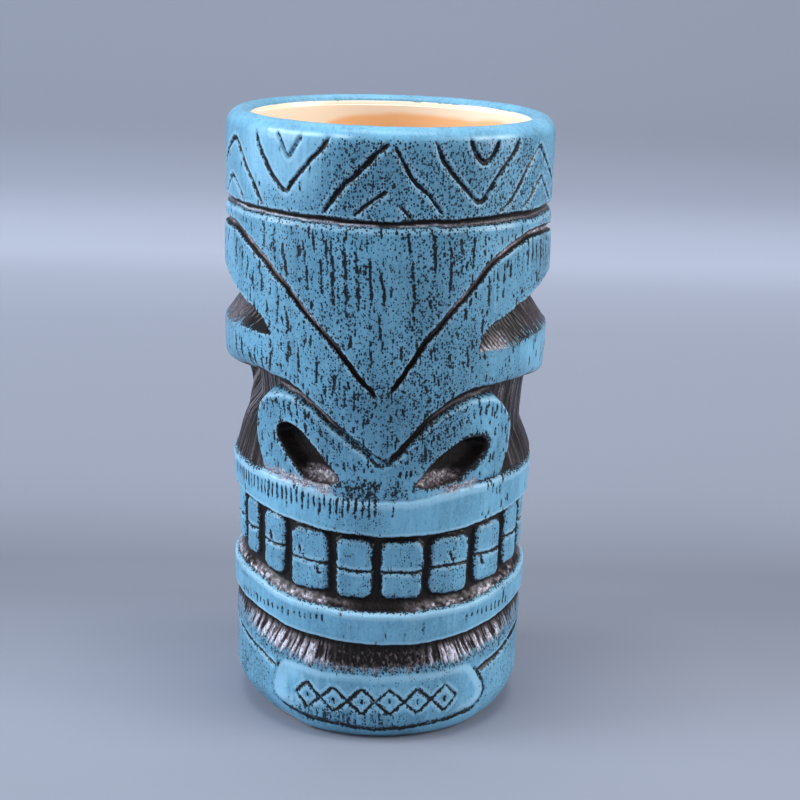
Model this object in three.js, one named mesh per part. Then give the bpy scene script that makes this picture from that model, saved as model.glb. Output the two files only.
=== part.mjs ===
// Tiki mug: one slip-cast clay body under two fired glazes.
// Millimetres, +Z up, the carved face looks along -Y, origin at the middle of the foot.
import * as THREE from "three";

// Driving dimensions
const HEIGHT = 160;
const LARGEST_RADIUS = 42.5;
const LIP_RADIUS = 39.2;
const RIM_RADIUS = 42.1;
const MOUTH_RADIUS = 36.2;
const FLOOR_HEIGHT = 8.5;
const FOOT_RADIUS = 33.5;
const FOOT_RING_INNER_RADIUS = 28;
const FOOT_RECESS = 2.5;
const GLAZE_THICKNESS = 0.6;
const LINER_THICKNESS = 0.5;
const BAND_GROOVE_HEIGHT = 137.3;
const TOOTH_PITCH = 20;
const TOOTH_GAP = 2.6;
const TOOTH_ROW_END = 105;
const BACK_STEPS = 10;
const PLAQUE_HALF_ANGLE = 45;
const PLAQUE_RAISE = 0.9;

// Colours read as fired glaze
const CLAY_COLOUR = 0xc9b59a;
const GLAZE_COLOUR = 0x6fa9c9;
const LINER_COLOUR = 0xe8b884;

// Degrees away from the nose, 0 to 180, for any angle
function turnFromFront(angle) {
  return Math.abs(((angle + 540) % 360) - 180);
}

// Height (or radius) of a carved line at an angle, from stations [angle, value]
function along(stations, angle) {
  const turn = turnFromFront(angle);
  let previous = stations[0];
  for (const station of stations) {
    if (turn <= station[0]) {
      const span = station[0] - previous[0];
      const share = span > 0 ? (turn - previous[0]) / span : 0;
      return previous[1] + (station[1] - previous[1]) * share;
    }
    previous = station;
  }
  return previous[1];
}

// Carved lines that other lines follow, as heights by angle away from the nose
const browLine = [[0, 94.5], [3, 95], [12, 101], [22, 109.5], [32, 117.5], [42, 124], [52, 128.3],
  [62, 130.8], [80, 131], [100, 128], [120, 124]];
const eyeLine = [[0, 89], [20, 97], [36, 103], [43, 106.8], [49, 110.5], [57, 113.5], [66, 115],
  [76, 115.2], [90, 112.8], [102, 108.5], [120, 108]];
const cheekLine = [[0, 79], [8, 82], [17, 87], [27, 91.5], [38, 94.3], [48, 95.2], [58, 95.2],
  [68, 94.5], [80, 93], [95, 92], [120, 92]];
const lipLine = [[0, 57.4], [20, 57.8], [40, 59], [60, 60], [90, 60]];
const chinLine = [[0, 28], [30, 28.7], [60, 30.4], [90, 30.8]];

// How far the neck is cut back beside the nose, fading out behind
const neckCut = [[0, 0], [50, 0], [59, 6.8], [101, 6.8], [118, 0]];
const eyeCut = [[0, 0], [41, 0], [46, 3], [57, 4.6], [90, 4.8], [99, 2.4], [104, 0]];
const browCut = [[0, 1.4], [98, 1.4], [112, 0]];
const cheekCut = [[0, 1.4], [46, 1.4], [59, 2], [101, 2], [112, 0]];
const nostrilCut = [[0, 0], [12, 0], [18, 3], [22, 3.8], [38, 3.8], [42, 0]];
const mouthCut = [[0, 2], [98, 2], [112, 0]];
const lipRaise = [[0, 0], [98, 0], [112, -0.4]];

function toothGapCut(angle) {
  const turn = turnFromFront(angle);
  if (turn > TOOTH_ROW_END) {
    return 0;
  }
  const offset = Math.abs(turn - TOOTH_PITCH * Math.round(turn / TOOTH_PITCH));
  return offset < TOOTH_GAP / 2 + 0.2 ? 1.1 : 0;
}

function plaqueRaise(angle) {
  return turnFromFront(angle) < PLAQUE_HALF_ANGLE ? PLAQUE_RAISE : 0;
}

// Outside of the blue glaze at one angle, from the mouth edge over the rim down to the foot
function outsideProfile(angle) {
  const brow = along(browLine, angle);
  const eye = along(eyeLine, angle);
  const cheek = along(cheekLine, angle);
  const lip = along(lipLine, angle);
  const chin = along(chinLine, angle);
  const neck = along(neckCut, angle);
  const hollow = along(eyeCut, angle);
  const nostril = along(nostrilCut, angle);
  const browGroove = along(browCut, angle);
  const cheekStep = along(cheekCut, angle) + neck;
  const mouth = along(mouthCut, angle);
  const gap = toothGapCut(angle);
  const plaque = plaqueRaise(angle);
  const hollowHeight = along([[0, 1.2], [41, 1.2], [57, 2], [90, 7.5], [104, 3]], angle);
  const lipOut = 39.8 + along(lipRaise, angle);
  const wing = along([[0, 40.6], [27, 41], [50, 40.4], [59, 42], [120, 41]], angle);
  return [
    // rim
    [MOUTH_RADIUS, 158.4],
    [37.5, 159.6],
    [LIP_RADIUS, HEIGHT],
    [41.2, 158.4],
    [RIM_RADIUS, 155.4],
    // headband and the groove under it
    [42.0, BAND_GROOVE_HEIGHT + 1.5],
    [40.7, BAND_GROOVE_HEIGHT + 0.5],
    [40.7, BAND_GROOVE_HEIGHT - 0.5],
    [41.8, BAND_GROOVE_HEIGHT - 1.5],
    // brow groove
    [42.0, brow + 1.3],
    [42.0 - browGroove, brow],
    [42.4, brow - 1.3],
    // eye hollow, cut back under the brow and sloping out to the cheek
    [LARGEST_RADIUS, Math.min(eye + hollowHeight, brow - 3)],
    [42.2 - hollow, eye],
    [42.4, Math.min(105.3, eye - 2.5)],
    // rounded lower edge of the cheek, then the neck or the nose groove
    [42.1, cheek + 3.5],
    [41.4 - cheekStep * 0.3, cheek + 0.8],
    [41.3 - cheekStep, cheek - 1.2],
    // nose wing and nostril
    [wing - neck, cheek - 3],
    [wing - neck, along([[0, 74.5], [12, 74.5], [20, 79], [28, 83], [36, 84], [42, 82], [59, 82.5]], angle)],
    [wing - neck - nostril, along([[0, 73.3], [12, 73.3], [20, 75], [30, 78], [38, 79.5], [59, 80]], angle)],
    [wing - neck * 0.75, along([[0, 72], [20, 71.8], [28, 72], [36, 74], [42, 75.5], [59, 77]], angle)],
    // upper lip
    [lipOut - 0.6, 70.6],
    [lipOut + 0.3, 68.4],
    [lipOut + 0.1, lip + 1.8],
    // mouth with teeth
    [lipOut - mouth, lip + 0.2],
    [38.6 - gap, lip - 1],
    [38.6 - gap, 41.2],
    [lipOut - mouth - 0.2, 39],
    // lower lip
    [39.3, 37.2],
    [39.4, chin + 1.8],
    [37.9, chin + 0.1],
    // chin slope and plaque
    [38.0, 24.5],
    [38.4, 21.2],
    [38.4 + plaque, 19.6],
    [38.5 + plaque, 7.8],
    // rounded foot edge
    [38.1, 5.6],
    [37.2, 3.2],
    [35.6, 1.2],
  ];
}

// Inside of the liner at one angle, from the mouth edge down to the edge of the floor
function insideProfile(angle) {
  const waist = along([[0, 0], [46, 0], [62, 1], [100, 1], [118, 0]], angle);
  return [
    [MOUTH_RADIUS, 158.4],
    [35.9, 155.5],
    [36.2, 135],
    [36.2 - 3.0 * waist, 114],
    [36.0 - 3.4 * waist, 101],
    [35.2 - 5.6 * waist, 91],
    [34.4 - 4.8 * waist, 78],
    [34.4 - 0.9 * waist, 67],
    [34.2, 16],
    [32.2, 10.6],
    [28.5, FLOOR_HEIGHT],
  ];
}

// Move a profile sideways along its own normals in the upright plane
function offsetProfile(profile, distance) {
  return profile.map((point, index) => {
    const before = profile[Math.max(index - 1, 0)];
    const after = profile[Math.min(index + 1, profile.length - 1)];
    const first = new THREE.Vector2(point[0] - before[0], point[1] - before[1]);
    const second = new THREE.Vector2(after[0] - point[0], after[1] - point[1]);
    const direction = first.normalize().add(second.normalize()).normalize();
    return [point[0] - direction.y * distance, point[1] + direction.x * distance];
  });
}

// Angles of the columns: both edges and the middle of each tooth, then wider steps round the back
function columnAngles() {
  const angles = [];
  const lastGap = Math.floor(TOOTH_ROW_END / TOOTH_PITCH);
  for (let gap = -lastGap; gap <= lastGap; gap += 1) {
    const middle = gap * TOOTH_PITCH;
    angles.push(middle - TOOTH_PITCH / 2);
    angles.push(middle - TOOTH_GAP / 2);
    angles.push(middle + TOOTH_GAP / 2);
  }
  const backStart = (lastGap + 0.5) * TOOTH_PITCH;
  const backStep = (360 - 2 * backStart) / BACK_STEPS;
  for (let step = 0; step < BACK_STEPS; step += 1) {
    angles.push(backStart + backStep * step);
  }
  return angles;
}

// True when one vertex is higher than another, or as high and nearer the axis
function isAbove(positions, one, other) {
  const rise = positions[3 * one + 2] - positions[3 * other + 2];
  if (Math.abs(rise) > 1e-6) {
    return rise > 0;
  }
  const radiusOne = Math.hypot(positions[3 * one], positions[3 * one + 1]);
  const radiusOther = Math.hypot(positions[3 * other], positions[3 * other + 1]);
  return radiusOne < radiusOther;
}

// Close a ring of profiles into one body; profiles that end on the axis meet in one vertex
function bodyFromProfiles(profiles) {
  const positions = [];
  const indices = [];
  const angles = columnAngles();
  const count = profiles[0].length;
  const rings = [];
  for (let row = 0; row < count; row += 1) {
    const onAxis = profiles[0][row][0] === 0;
    const ring = [];
    angles.forEach((angle, column) => {
      if (!onAxis || column === 0) {
        const [radius, height] = profiles[column][row];
        const turn = (angle * Math.PI) / 180;
        positions.push(radius * Math.sin(turn), -radius * Math.cos(turn), height);
      }
      ring.push(positions.length / 3 - 1);
    });
    rings.push(ring);
  }
  const closed = profiles[0][0][0] !== 0;
  const bands = closed ? count : count - 1;
  for (let row = 0; row < bands; row += 1) {
    const upper = rings[row];
    const lower = rings[(row + 1) % count];
    for (let column = 0; column < angles.length; column += 1) {
      const next = (column + 1) % angles.length;
      const a = upper[column];
      const b = lower[column];
      const c = lower[next];
      const d = upper[next];
      // Two bodies that share a surface must split its quads the same way
      const triangles = isAbove(positions, a, b) ? [[a, b, c], [a, c, d]] : [[a, b, d], [b, c, d]];
      for (const triangle of triangles) {
        if (new Set(triangle).size === 3) {
          indices.push(...triangle);
        }
      }
    }
  }
  const geometry = new THREE.BufferGeometry();
  geometry.setAttribute("position", new THREE.Float32BufferAttribute(positions, 3));
  geometry.setIndex(indices);
  geometry.computeVertexNormals();
  return geometry;
}

function profilesAtColumns(profileAt) {
  return columnAngles().map((angle) => profileAt(angle));
}

// Blue glaze skin: outer surface down, then back up along the clay
function outerGlaze() {
  const geometry = bodyFromProfiles(profilesAtColumns((angle) => {
    const outside = outsideProfile(angle);
    const clay = clayOutside(angle);
    return [...outside, ...clay.reverse()];
  }));
  const material = new THREE.MeshStandardMaterial({ color: GLAZE_COLOUR, roughness: 0.25, metalness: 0 });
  return named("outer_glaze", geometry, material);
}

function clayOutside(angle) {
  const clay = offsetProfile(outsideProfile(angle), -GLAZE_THICKNESS);
  clay[0] = jointPoint();
  return clay;
}

function clayInside(angle) {
  const clay = offsetProfile(insideProfile(angle), LINER_THICKNESS);
  clay[0] = jointPoint();
  return clay;
}

// Where the two glazes and the clay meet, just inside the lip
function jointPoint() {
  return [MOUTH_RADIUS + 0.6, 158.0];
}

// Liner glaze: a thin cup
function linerGlaze() {
  const floorUnder = FLOOR_HEIGHT - LINER_THICKNESS;
  const geometry = bodyFromProfiles(profilesAtColumns((angle) => {
    const inside = insideProfile(angle);
    const clay = clayInside(angle);
    return [[0, FLOOR_HEIGHT], ...inside.reverse(), ...clay, [0, floorUnder]];
  }));
  const material = new THREE.MeshStandardMaterial({ color: LINER_COLOUR, roughness: 0.3, metalness: 0 });
  return named("liner_glaze", geometry, material);
}

// Clay body: outside, foot ring, recessed underside and hollow
function clayBody() {
  const floorUnder = FLOOR_HEIGHT - LINER_THICKNESS;
  const geometry = bodyFromProfiles(profilesAtColumns((angle) => [
    [0, floorUnder],
    ...clayInside(angle).reverse(),
    ...clayOutside(angle).slice(1),
    [FOOT_RADIUS, 0],
    [FOOT_RING_INNER_RADIUS, 0],
    [FOOT_RING_INNER_RADIUS - 1.5, FOOT_RECESS],
    [0, FOOT_RECESS],
  ]));
  const material = new THREE.MeshStandardMaterial({ color: CLAY_COLOUR, roughness: 0.85, metalness: 0 });
  return named("clay_body", geometry, material);
}

function named(name, geometry, material) {
  const mesh = new THREE.Mesh(geometry, material);
  mesh.name = name;
  return mesh;
}

const mug = new THREE.Group();
mug.name = "tiki_mug";
mug.add(clayBody(), outerGlaze(), linerGlaze());
export default mug;
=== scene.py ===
"""Tiki mug: the carved blue glaze, the cream liner and the clay body, on a plain pale floor."""
import math

import bpy
import numpy as np
from mathutils import Matrix, Vector


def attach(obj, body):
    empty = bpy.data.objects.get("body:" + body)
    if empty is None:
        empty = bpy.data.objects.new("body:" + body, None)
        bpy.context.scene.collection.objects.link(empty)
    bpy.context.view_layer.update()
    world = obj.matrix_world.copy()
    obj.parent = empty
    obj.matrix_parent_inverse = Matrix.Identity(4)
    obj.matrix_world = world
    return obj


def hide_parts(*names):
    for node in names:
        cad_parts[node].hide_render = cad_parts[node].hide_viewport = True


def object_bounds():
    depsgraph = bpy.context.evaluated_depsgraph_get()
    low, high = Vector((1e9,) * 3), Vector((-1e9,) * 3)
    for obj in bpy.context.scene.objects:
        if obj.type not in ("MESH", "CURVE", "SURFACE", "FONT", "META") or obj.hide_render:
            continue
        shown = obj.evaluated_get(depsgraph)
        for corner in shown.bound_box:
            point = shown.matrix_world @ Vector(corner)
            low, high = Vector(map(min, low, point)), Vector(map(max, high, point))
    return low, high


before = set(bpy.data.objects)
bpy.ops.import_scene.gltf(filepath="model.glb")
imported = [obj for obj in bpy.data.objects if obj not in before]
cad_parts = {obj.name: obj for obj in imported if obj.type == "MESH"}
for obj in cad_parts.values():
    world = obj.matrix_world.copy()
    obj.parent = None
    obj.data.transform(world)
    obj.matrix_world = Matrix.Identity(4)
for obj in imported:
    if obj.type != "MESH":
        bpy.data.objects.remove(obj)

# ---------------------------------------------------------------- sizes, in millimetres
CAD_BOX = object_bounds()
MM = 0.001
HEIGHT = CAD_BOX[1].z / MM
LARGEST_RADIUS = CAD_BOX[1].x / MM
MOUTH_RADIUS = 36.2
FOOT_RADIUS = 33.5
FOOT_RING_INNER_RADIUS = 28.0
FOOT_RECESS = 2.5
FLOOR_HEIGHT = 8.5
GLAZE_THICKNESS = 0.6
LINER_THICKNESS = 0.5
CLAY_GAP = 0.06
PLAQUE_RAISE = 1.35
GOUGE_SPACING = 1.15
TOOTH_CORNER = 2.9
TOOTH_HEIGHT = 1.35
NOSTRIL_DEPTH = 4.4
# Height of the painted highlight along the front of the rim
RIM_HIGHLIGHT_HEIGHT = 157.4

# The outer surface is a grid of points: columns round the mug, rows down it
COLUMNS = 1068
ROW_STEP = 0.3
ARC_PER_DEGREE = 0.72
FINE_PER_COARSE = 6
ROWS_PER_COARSE = 8
EVERYWHERE = slice(None)

# The clay under the glaze starts below the rim and ends above the foot
CLAY_TOP = 157
CLAY_FOOT = 2.5
# Below this height the inside turns into the floor
FLOOR_BEND = 12
# How far the inside is pulled in, by degrees from the front
WAIST_SHARE = [(0, 0), (46, 0), (62, 1), (100, 1), (118, 0), (180, 0)]

# Floor, backdrop and camera: the sheet in metres, the camera in millimetres and degrees
SHEET_FRONT = -6
SHEET_BEND = 0.9
SHEET_BEND_RADIUS = 0.6
SHEET_HALF_WIDTH = 6
SHEET_TOP = 2.4
SHEET_COLOUR = (203, 211, 232)
CAMERA_FOCAL_IN_FRAMES = 2.179
CAMERA_DISTANCE = 451.1
CAMERA_HEIGHT = 207.3
CAMERA_AIM_HEIGHT = 82.5
CAMERA_AIM_ASIDE = 4.4
CAMERA_ROLL = 1.69
# Painted light and shade on the sheet, by metres behind the mug along it: darker just behind the mug,
# where its shadow falls, and lighter on the floor before it bends up
SHEET_SHADES = [
    (-6, 0.4), (-0.06, 0.41), (-0.03, 0.445), (0.02, 0.43), (0.08, 0.285), (0.12, 0.345), (0.16, 0.4),
    (0.27, 0.435), (0.35, 0.46), (0.44, 0.5), (0.55, 0.6), (0.63, 0.765), (0.74, 0.765), (0.87, 0.68),
    (1.1, 0.47), (3, 0.45),
]

# Carved lines of the face as [degrees from the front, height]; left of the nose is negative
BROW_LEFT = [
    (-112, 127), (-100, 130), (-88, 131.6), (-75, 132.1), (-66, 132), (-60, 131), (-55, 129.5),
    (-50, 127.8), (-45, 125.5), (-40, 122.5), (-35, 119.5), (-30, 116), (-25, 112.5), (-20, 109),
    (-15, 105), (-10, 100.8), (-6, 97.3), (-3, 94.6), (-1.6, 93.2),
]
BROW_RIGHT = [
    (1.2, 94.8), (4, 97.5), (7, 101), (10, 104.5), (13, 108), (17, 111.2), (20, 114), (25, 118),
    (30, 121.7), (35, 125.4), (40, 128), (45, 129.8), (50, 131.1), (55, 132.1), (60, 132.6), (66, 132.8),
    (75, 132.3), (88, 131.4), (100, 129.5), (112, 126.5),
]
BROW_HALF_WIDTH = [(0, 0.5), (8, 0.66), (20, 0.7), (35, 0.8), (55, 0.98), (75, 1.05), (112, 0.6)]
# The eyes: the notch where brow and cheek meet, how deep it is, and where the brow and the cheek start
NOTCH_LEFT = [
    (40, 104.5), (43, 107.3), (47, 109.8), (53, 111.9), (58, 113.2), (65, 114.6), (72, 115.2),
    (80, 114.9), (88, 114), (98, 112.8), (108, 110.6), (118, 107.2),
]
NOTCH_RIGHT = [
    (31, 104), (35, 107.6), (38.6, 110.1), (43, 111.6), (50, 113.6), (57.7, 115.3), (64, 116.4),
    (70, 116.5), (80, 115.2), (88, 113.9), (98, 112.6), (108, 110.6), (118, 107.2),
]
HOLLOW_BACK_END = 121
HOLLOW_LEFT = [
    (41.5, 0), (44, 2), (48, 3.2), (53, 4.2), (60, 4.9), (72, 5.6), (98, 5.6), (108, 4.2), (115, 2),
    (HOLLOW_BACK_END, 0),
]
HOLLOW_RIGHT = [
    (33, 0), (35, 1.6), (40, 3), (46, 3.8), (55, 4.5), (70, 5.3), (98, 5.4), (108, 4.2), (115, 2),
    (HOLLOW_BACK_END, 0),
]
CHEEK_TOP_LEFT = [
    (40, 107), (47, 106.8), (58, 106.6), (70, 106.2), (98, 106), (HOLLOW_BACK_END, 105.6),
]
CHEEK_TOP_RIGHT = [
    (31, 105), (40, 105.2), (50, 105.2), (60, 105.8), (98, 106), (HOLLOW_BACK_END, 105.6),
]
BROW_UNDERSIDE = [
    (0, 0.9), (56, 1.1), (66, 2.2), (76, 4.8), (88, 7), (104, 6.4), (HOLLOW_BACK_END, 2.4),
]
CHEEK_EDGE = [
    (-125, 91.9), (-104, 91.6), (-88, 92), (-75, 94), (-65, 95.4), (-55, 96.2), (-45, 96.3), (-40, 96.1),
    (-35, 95.6), (-30, 94), (-25, 91.5), (-20, 88.6), (-15, 85.8), (-10, 83), (-6, 80.8), (-3, 79),
    (0, 77.6), (2, 78), (5, 80.2), (8, 82.8), (12, 86), (17, 89.5), (22, 92.3), (27, 94.3), (32, 95.3),
    (38, 95.5), (45, 95.4), (55, 95.2), (65, 94.8), (75, 93.6), (88, 91.9), (104, 91.5), (125, 91.9),
]
NECK_MIDDLE = 80.5
NECK_FOOT = 70.4
NECK_DEPTH = [
    (-125, 0), (-117, 0), (-113, 3.2), (-104, 6.8), (-95, 8.4), (-62, 8.4), (-52, 7.2), (-47, 5.4),
    (-42, 3.6), (-37, 2.2), (-31, 1.7), (-20, 1.4), (0, 1.1), (20, 1.4), (31, 1.8), (37, 2.2), (42, 3.1),
    (47, 4), (52, 4.3), (95, 4.3), (104, 3.9), (113, 2.4), (117, 0), (125, 0),
]
# Top edge of the upper lip, lowest under the nose
LIP_TOP = [
    (-125, 70.5), (-55, 70.5), (-44, 70.2), (-30, 69.5), (-20, 68.6), (-12, 67.7), (0, 67.4), (10, 67.5),
    (17, 68.2), (28, 69.2), (44, 70.2), (55, 70.5), (125, 70.5),
]
NECK_FLARE_LEFT = [
    (69.5, 0.05), (71, 0.14), (74.5, 0.27), (78, 0.42), (81, 0.6), (83, 0.82), (84.8, 1), (100, 1),
]
NECK_FLARE_RIGHT = [
    (69.5, 0.03), (71.8, 0.12), (73.7, 0.3), (76.7, 0.62), (79.4, 0.95), (82, 1), (100, 1),
]
NOSE_OUTLINE = [
    (-50.6, 70.6), (-53.4, 73.5), (-55, 77), (-55.6, 80.4), (-55.2, 84.4), (-53.8, 88), (-51, 90.8),
    (-47, 92.5), (-42, 93.1), (-36.5, 93), (-31, 92.2), (-25, 89.7), (-20, 86.9), (-15, 84.1),
    (-10, 81.3), (-7, 79.6), (-3, 77), (0, 75.8), (3, 77), (5.5, 78.6), (8, 80.6), (12, 83.9), (17, 87.4),
    (22, 90), (27, 91.8), (31.5, 92.7), (37, 93.2), (43, 92.9), (47, 91.6), (50.8, 89.8), (53.8, 87.4),
    (55.4, 84), (56, 80.4), (55.4, 77.2), (53.8, 74.4), (51.4, 71.8), (49, 70.4), (0, 69.6),
]
WING_MARK_TOP = [
    (15, 82.6), (24, 87.2), (32, 90.6), (40, 91.4), (47, 90.6), (52, 88.4),
]
NOSTRIL_LEFT = [
    (-41.2, 81.2), (-40.6, 83.2), (-38.2, 84.6), (-34.2, 84.8), (-30, 83.4), (-26, 80.6), (-22, 77.7),
    (-18, 74.7), (-15.2, 71.8), (-17, 70.6), (-22, 70.2), (-27, 70.5), (-30.5, 71.8), (-34.2, 74.7),
    (-38.2, 78),
]
NOSTRIL_RIGHT = [
    (12, 70.9), (15, 74), (19, 77.1), (24, 80.2), (29, 82.1), (34, 82.8), (38.2, 82.4), (40.6, 80.6),
    (40, 78.2), (37, 76), (32, 73.6), (28, 71.7), (22, 70.5), (15.5, 70.2),
]
UPPER_LIP_EDGE = [
    (-125, 62.5), (-88, 61.6), (-65, 61.2), (-55, 60.6), (-40, 59.2), (-30, 58.5), (-20, 58), (-10, 57.6),
    (0, 57.3), (10, 57.3), (20, 57.6), (30, 58), (40, 58.8), (50, 59.5), (60, 60), (88, 60.6),
    (125, 61.5),
]
LOWER_LIP_TOP = [
    (-125, 41.6), (-88, 41.4), (-65, 41), (-55, 40.3), (-40, 38.8), (-30, 38), (-20, 37.6), (0, 37),
    (20, 37.2), (30, 37.5), (40, 38), (50, 38.8), (60, 39.8), (88, 41), (125, 41.6),
]
LOWER_LIP_EDGE = [
    (-125, 33), (-88, 32.6), (-70, 32.3), (-60, 31.8), (-50, 30.9), (-40, 29.9), (-30, 29), (-20, 28.4),
    (-10, 28), (0, 27.8), (10, 27.8), (20, 28.1), (30, 28.6), (40, 29.4), (50, 30.4), (60, 31.5),
    (70, 32.5), (88, 32.8), (125, 33),
]
CHIN_FOOT = [
    (-125, 25), (-88, 24.4), (-65, 24), (-50, 22.6), (-40, 20.7), (-25, 19.6), (0, 19.4), (20, 19.9),
    (38, 20.8), (50, 22.4), (65, 23.6), (88, 24.4), (125, 25),
]
CHIN_DEPTH = [(0, 1.9), (45, 1.7), (65, 1.2), (125, 1)]
PANEL_LINE_LEFT = [
    (-118, 26), (-100, 24.8), (-85, 23.6), (-75, 22.4), (-68, 21.4), (-60, 20.2), (-50, 18.6),
    (-42.6, 16.8),
]
PANEL_LINE_RIGHT = [
    (43.6, 17.2), (50, 18.1), (56, 19), (62, 20.1), (68, 21.5), (76, 22.8), (88, 24), (118, 26),
]
PLAQUE_OUTLINE = [
    (-38.5, 20.3), (-41.2, 18.2), (-43.2, 14.8), (-44.7, 11.5), (-43.6, 9), (-40.4, 7.2), (-36, 6.3),
    (-28, 5.7), (-20, 5.1), (-10, 4.4), (0, 4), (10, 4.1), (20, 4.7), (30, 5.5), (40.5, 6.4), (44.6, 8.2),
    (47.3, 11), (46.2, 13.5), (43.8, 16.2), (41.2, 18.8), (37.4, 20.4), (20, 19.8), (0, 19.4),
    (-22, 19.5),
]
# Teeth: [left edge, right edge, top, split, foot of the row]
TEETH = [
    (-97, -84.5, 62, 54, 46), (-81.5, -70, 61.8, 53.4, 45.6), (-67, -56.2, 60.8, 52.4, 44.4),
    (-52.2, -39.6, 59.5, 51, 42.6), (-36.8, -19.8, 57.7, 49.1, 40.6), (-17, -2.4, 56.5, 47.9, 40),
    (0.6, 17.2, 56.2, 47.7, 39.9), (19.6, 36.8, 56.6, 48.6, 40.4), (39.6, 55, 58, 49.6, 41.5),
    (58, 71, 60, 51.4, 43), (74, 85, 60.8, 52.6, 44.8), (88, 98, 61.2, 53.4, 45.8),
]
# Small chips in the teeth
TOOTH_CHIPS = [(-46.6, 52.6), (-31.6, 51.3), (29, 51), (-24, 47.2), (44, 47.8)]
# Chevrons of the headband: each its width and darkness, then a path of [degrees, height]
CHEVRONS = [
    [(1.15, 0.95), (-88, 139.4), (-80, 145.6), (-74, 149.8), (-70, 152), (-65.5, 153.9), (-62.2, 152.4),
     (-60.2, 150.4), (-57, 147.6), (-53, 144.5), (-50, 142), (-46.4, 139)],
    [(0.95, 0.75), (-76.5, 139.2), (-73, 141.8), (-69, 144), (-66, 143.5), (-62, 141.6), (-58, 139.4)],
    [(1.15, 0.95), (-51, 156.8), (-49, 153.7), (-46, 150.5), (-42, 146.6), (-39, 144.4), (-36.4, 143.2),
     (-34.8, 144.3), (-31, 148), (-27, 151.1), (-23, 153.6), (-20, 156.9)],
    [(1.1, 0.4), (-40.5, 157.2), (-38.5, 155.2), (-36.6, 152.9), (-35, 151.6), (-33, 153.7),
     (-30.2, 156.8)],
    [(1.45, 1), (-21.6, 138.8), (-18, 142.5), (-14, 146.4), (-10, 149.5), (-6, 152.5), (-3.4, 154.5),
     (-0.6, 156.4)],
    [(1.15, 0.9), (-11.4, 138.9), (-8, 141), (-4, 143.3), (-0.8, 145.2)],
    [(1.25, 0.8), (1.2, 155.6), (5, 151), (8, 147.6), (12, 144.6), (15, 142.2), (18, 139.4)],
    [(1, 0.8), (3.6, 142), (5.6, 139.9), (7.4, 138.4)],
    [(1.25, 0.9), (15, 156.6), (16.6, 153.4), (19, 151), (22, 148.2), (26, 145.1), (29.4, 142.7),
     (31.2, 142.2), (33, 142.9), (36, 146), (39, 149), (43, 151.6), (46, 154.4), (48, 157)],
    [(1.5, 1), (27, 157), (28.7, 154.2), (31, 152.2), (33, 151.7), (36, 153.2), (38.6, 156.6)],
    [(1.05, 0.85), (39, 138.9), (43, 140.5), (46, 142.6), (49, 145.6), (52, 148.4), (55, 150.6),
     (58, 152.6), (61.5, 154), (64, 152.5), (66.4, 150.6), (70, 148.5), (76, 145.6), (84, 141.6),
     (88, 139.4)],
    [(0.9, 0.8), (51, 139.3), (55, 141.5), (58, 143.5), (61, 145.4), (63.6, 146.4), (66, 144.8),
     (70, 142), (74, 139.6)],
]
# Chevrons at the back, each twice: [degrees from the front, outer V, inner V], a V as [degrees out, height]
BACK_CHEVRONS = [
    (102, [(14, 157), (7, 149), (0, 142.8)], [(5, 157), (0, 151.6)]),
    (130, [(15, 139), (8, 147), (0, 154.2)], [(7, 139), (0, 145.4)]),
    (160, [(14, 157), (7, 149), (0, 142.8)], [(5, 157), (0, 151.6)]),
]

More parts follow.
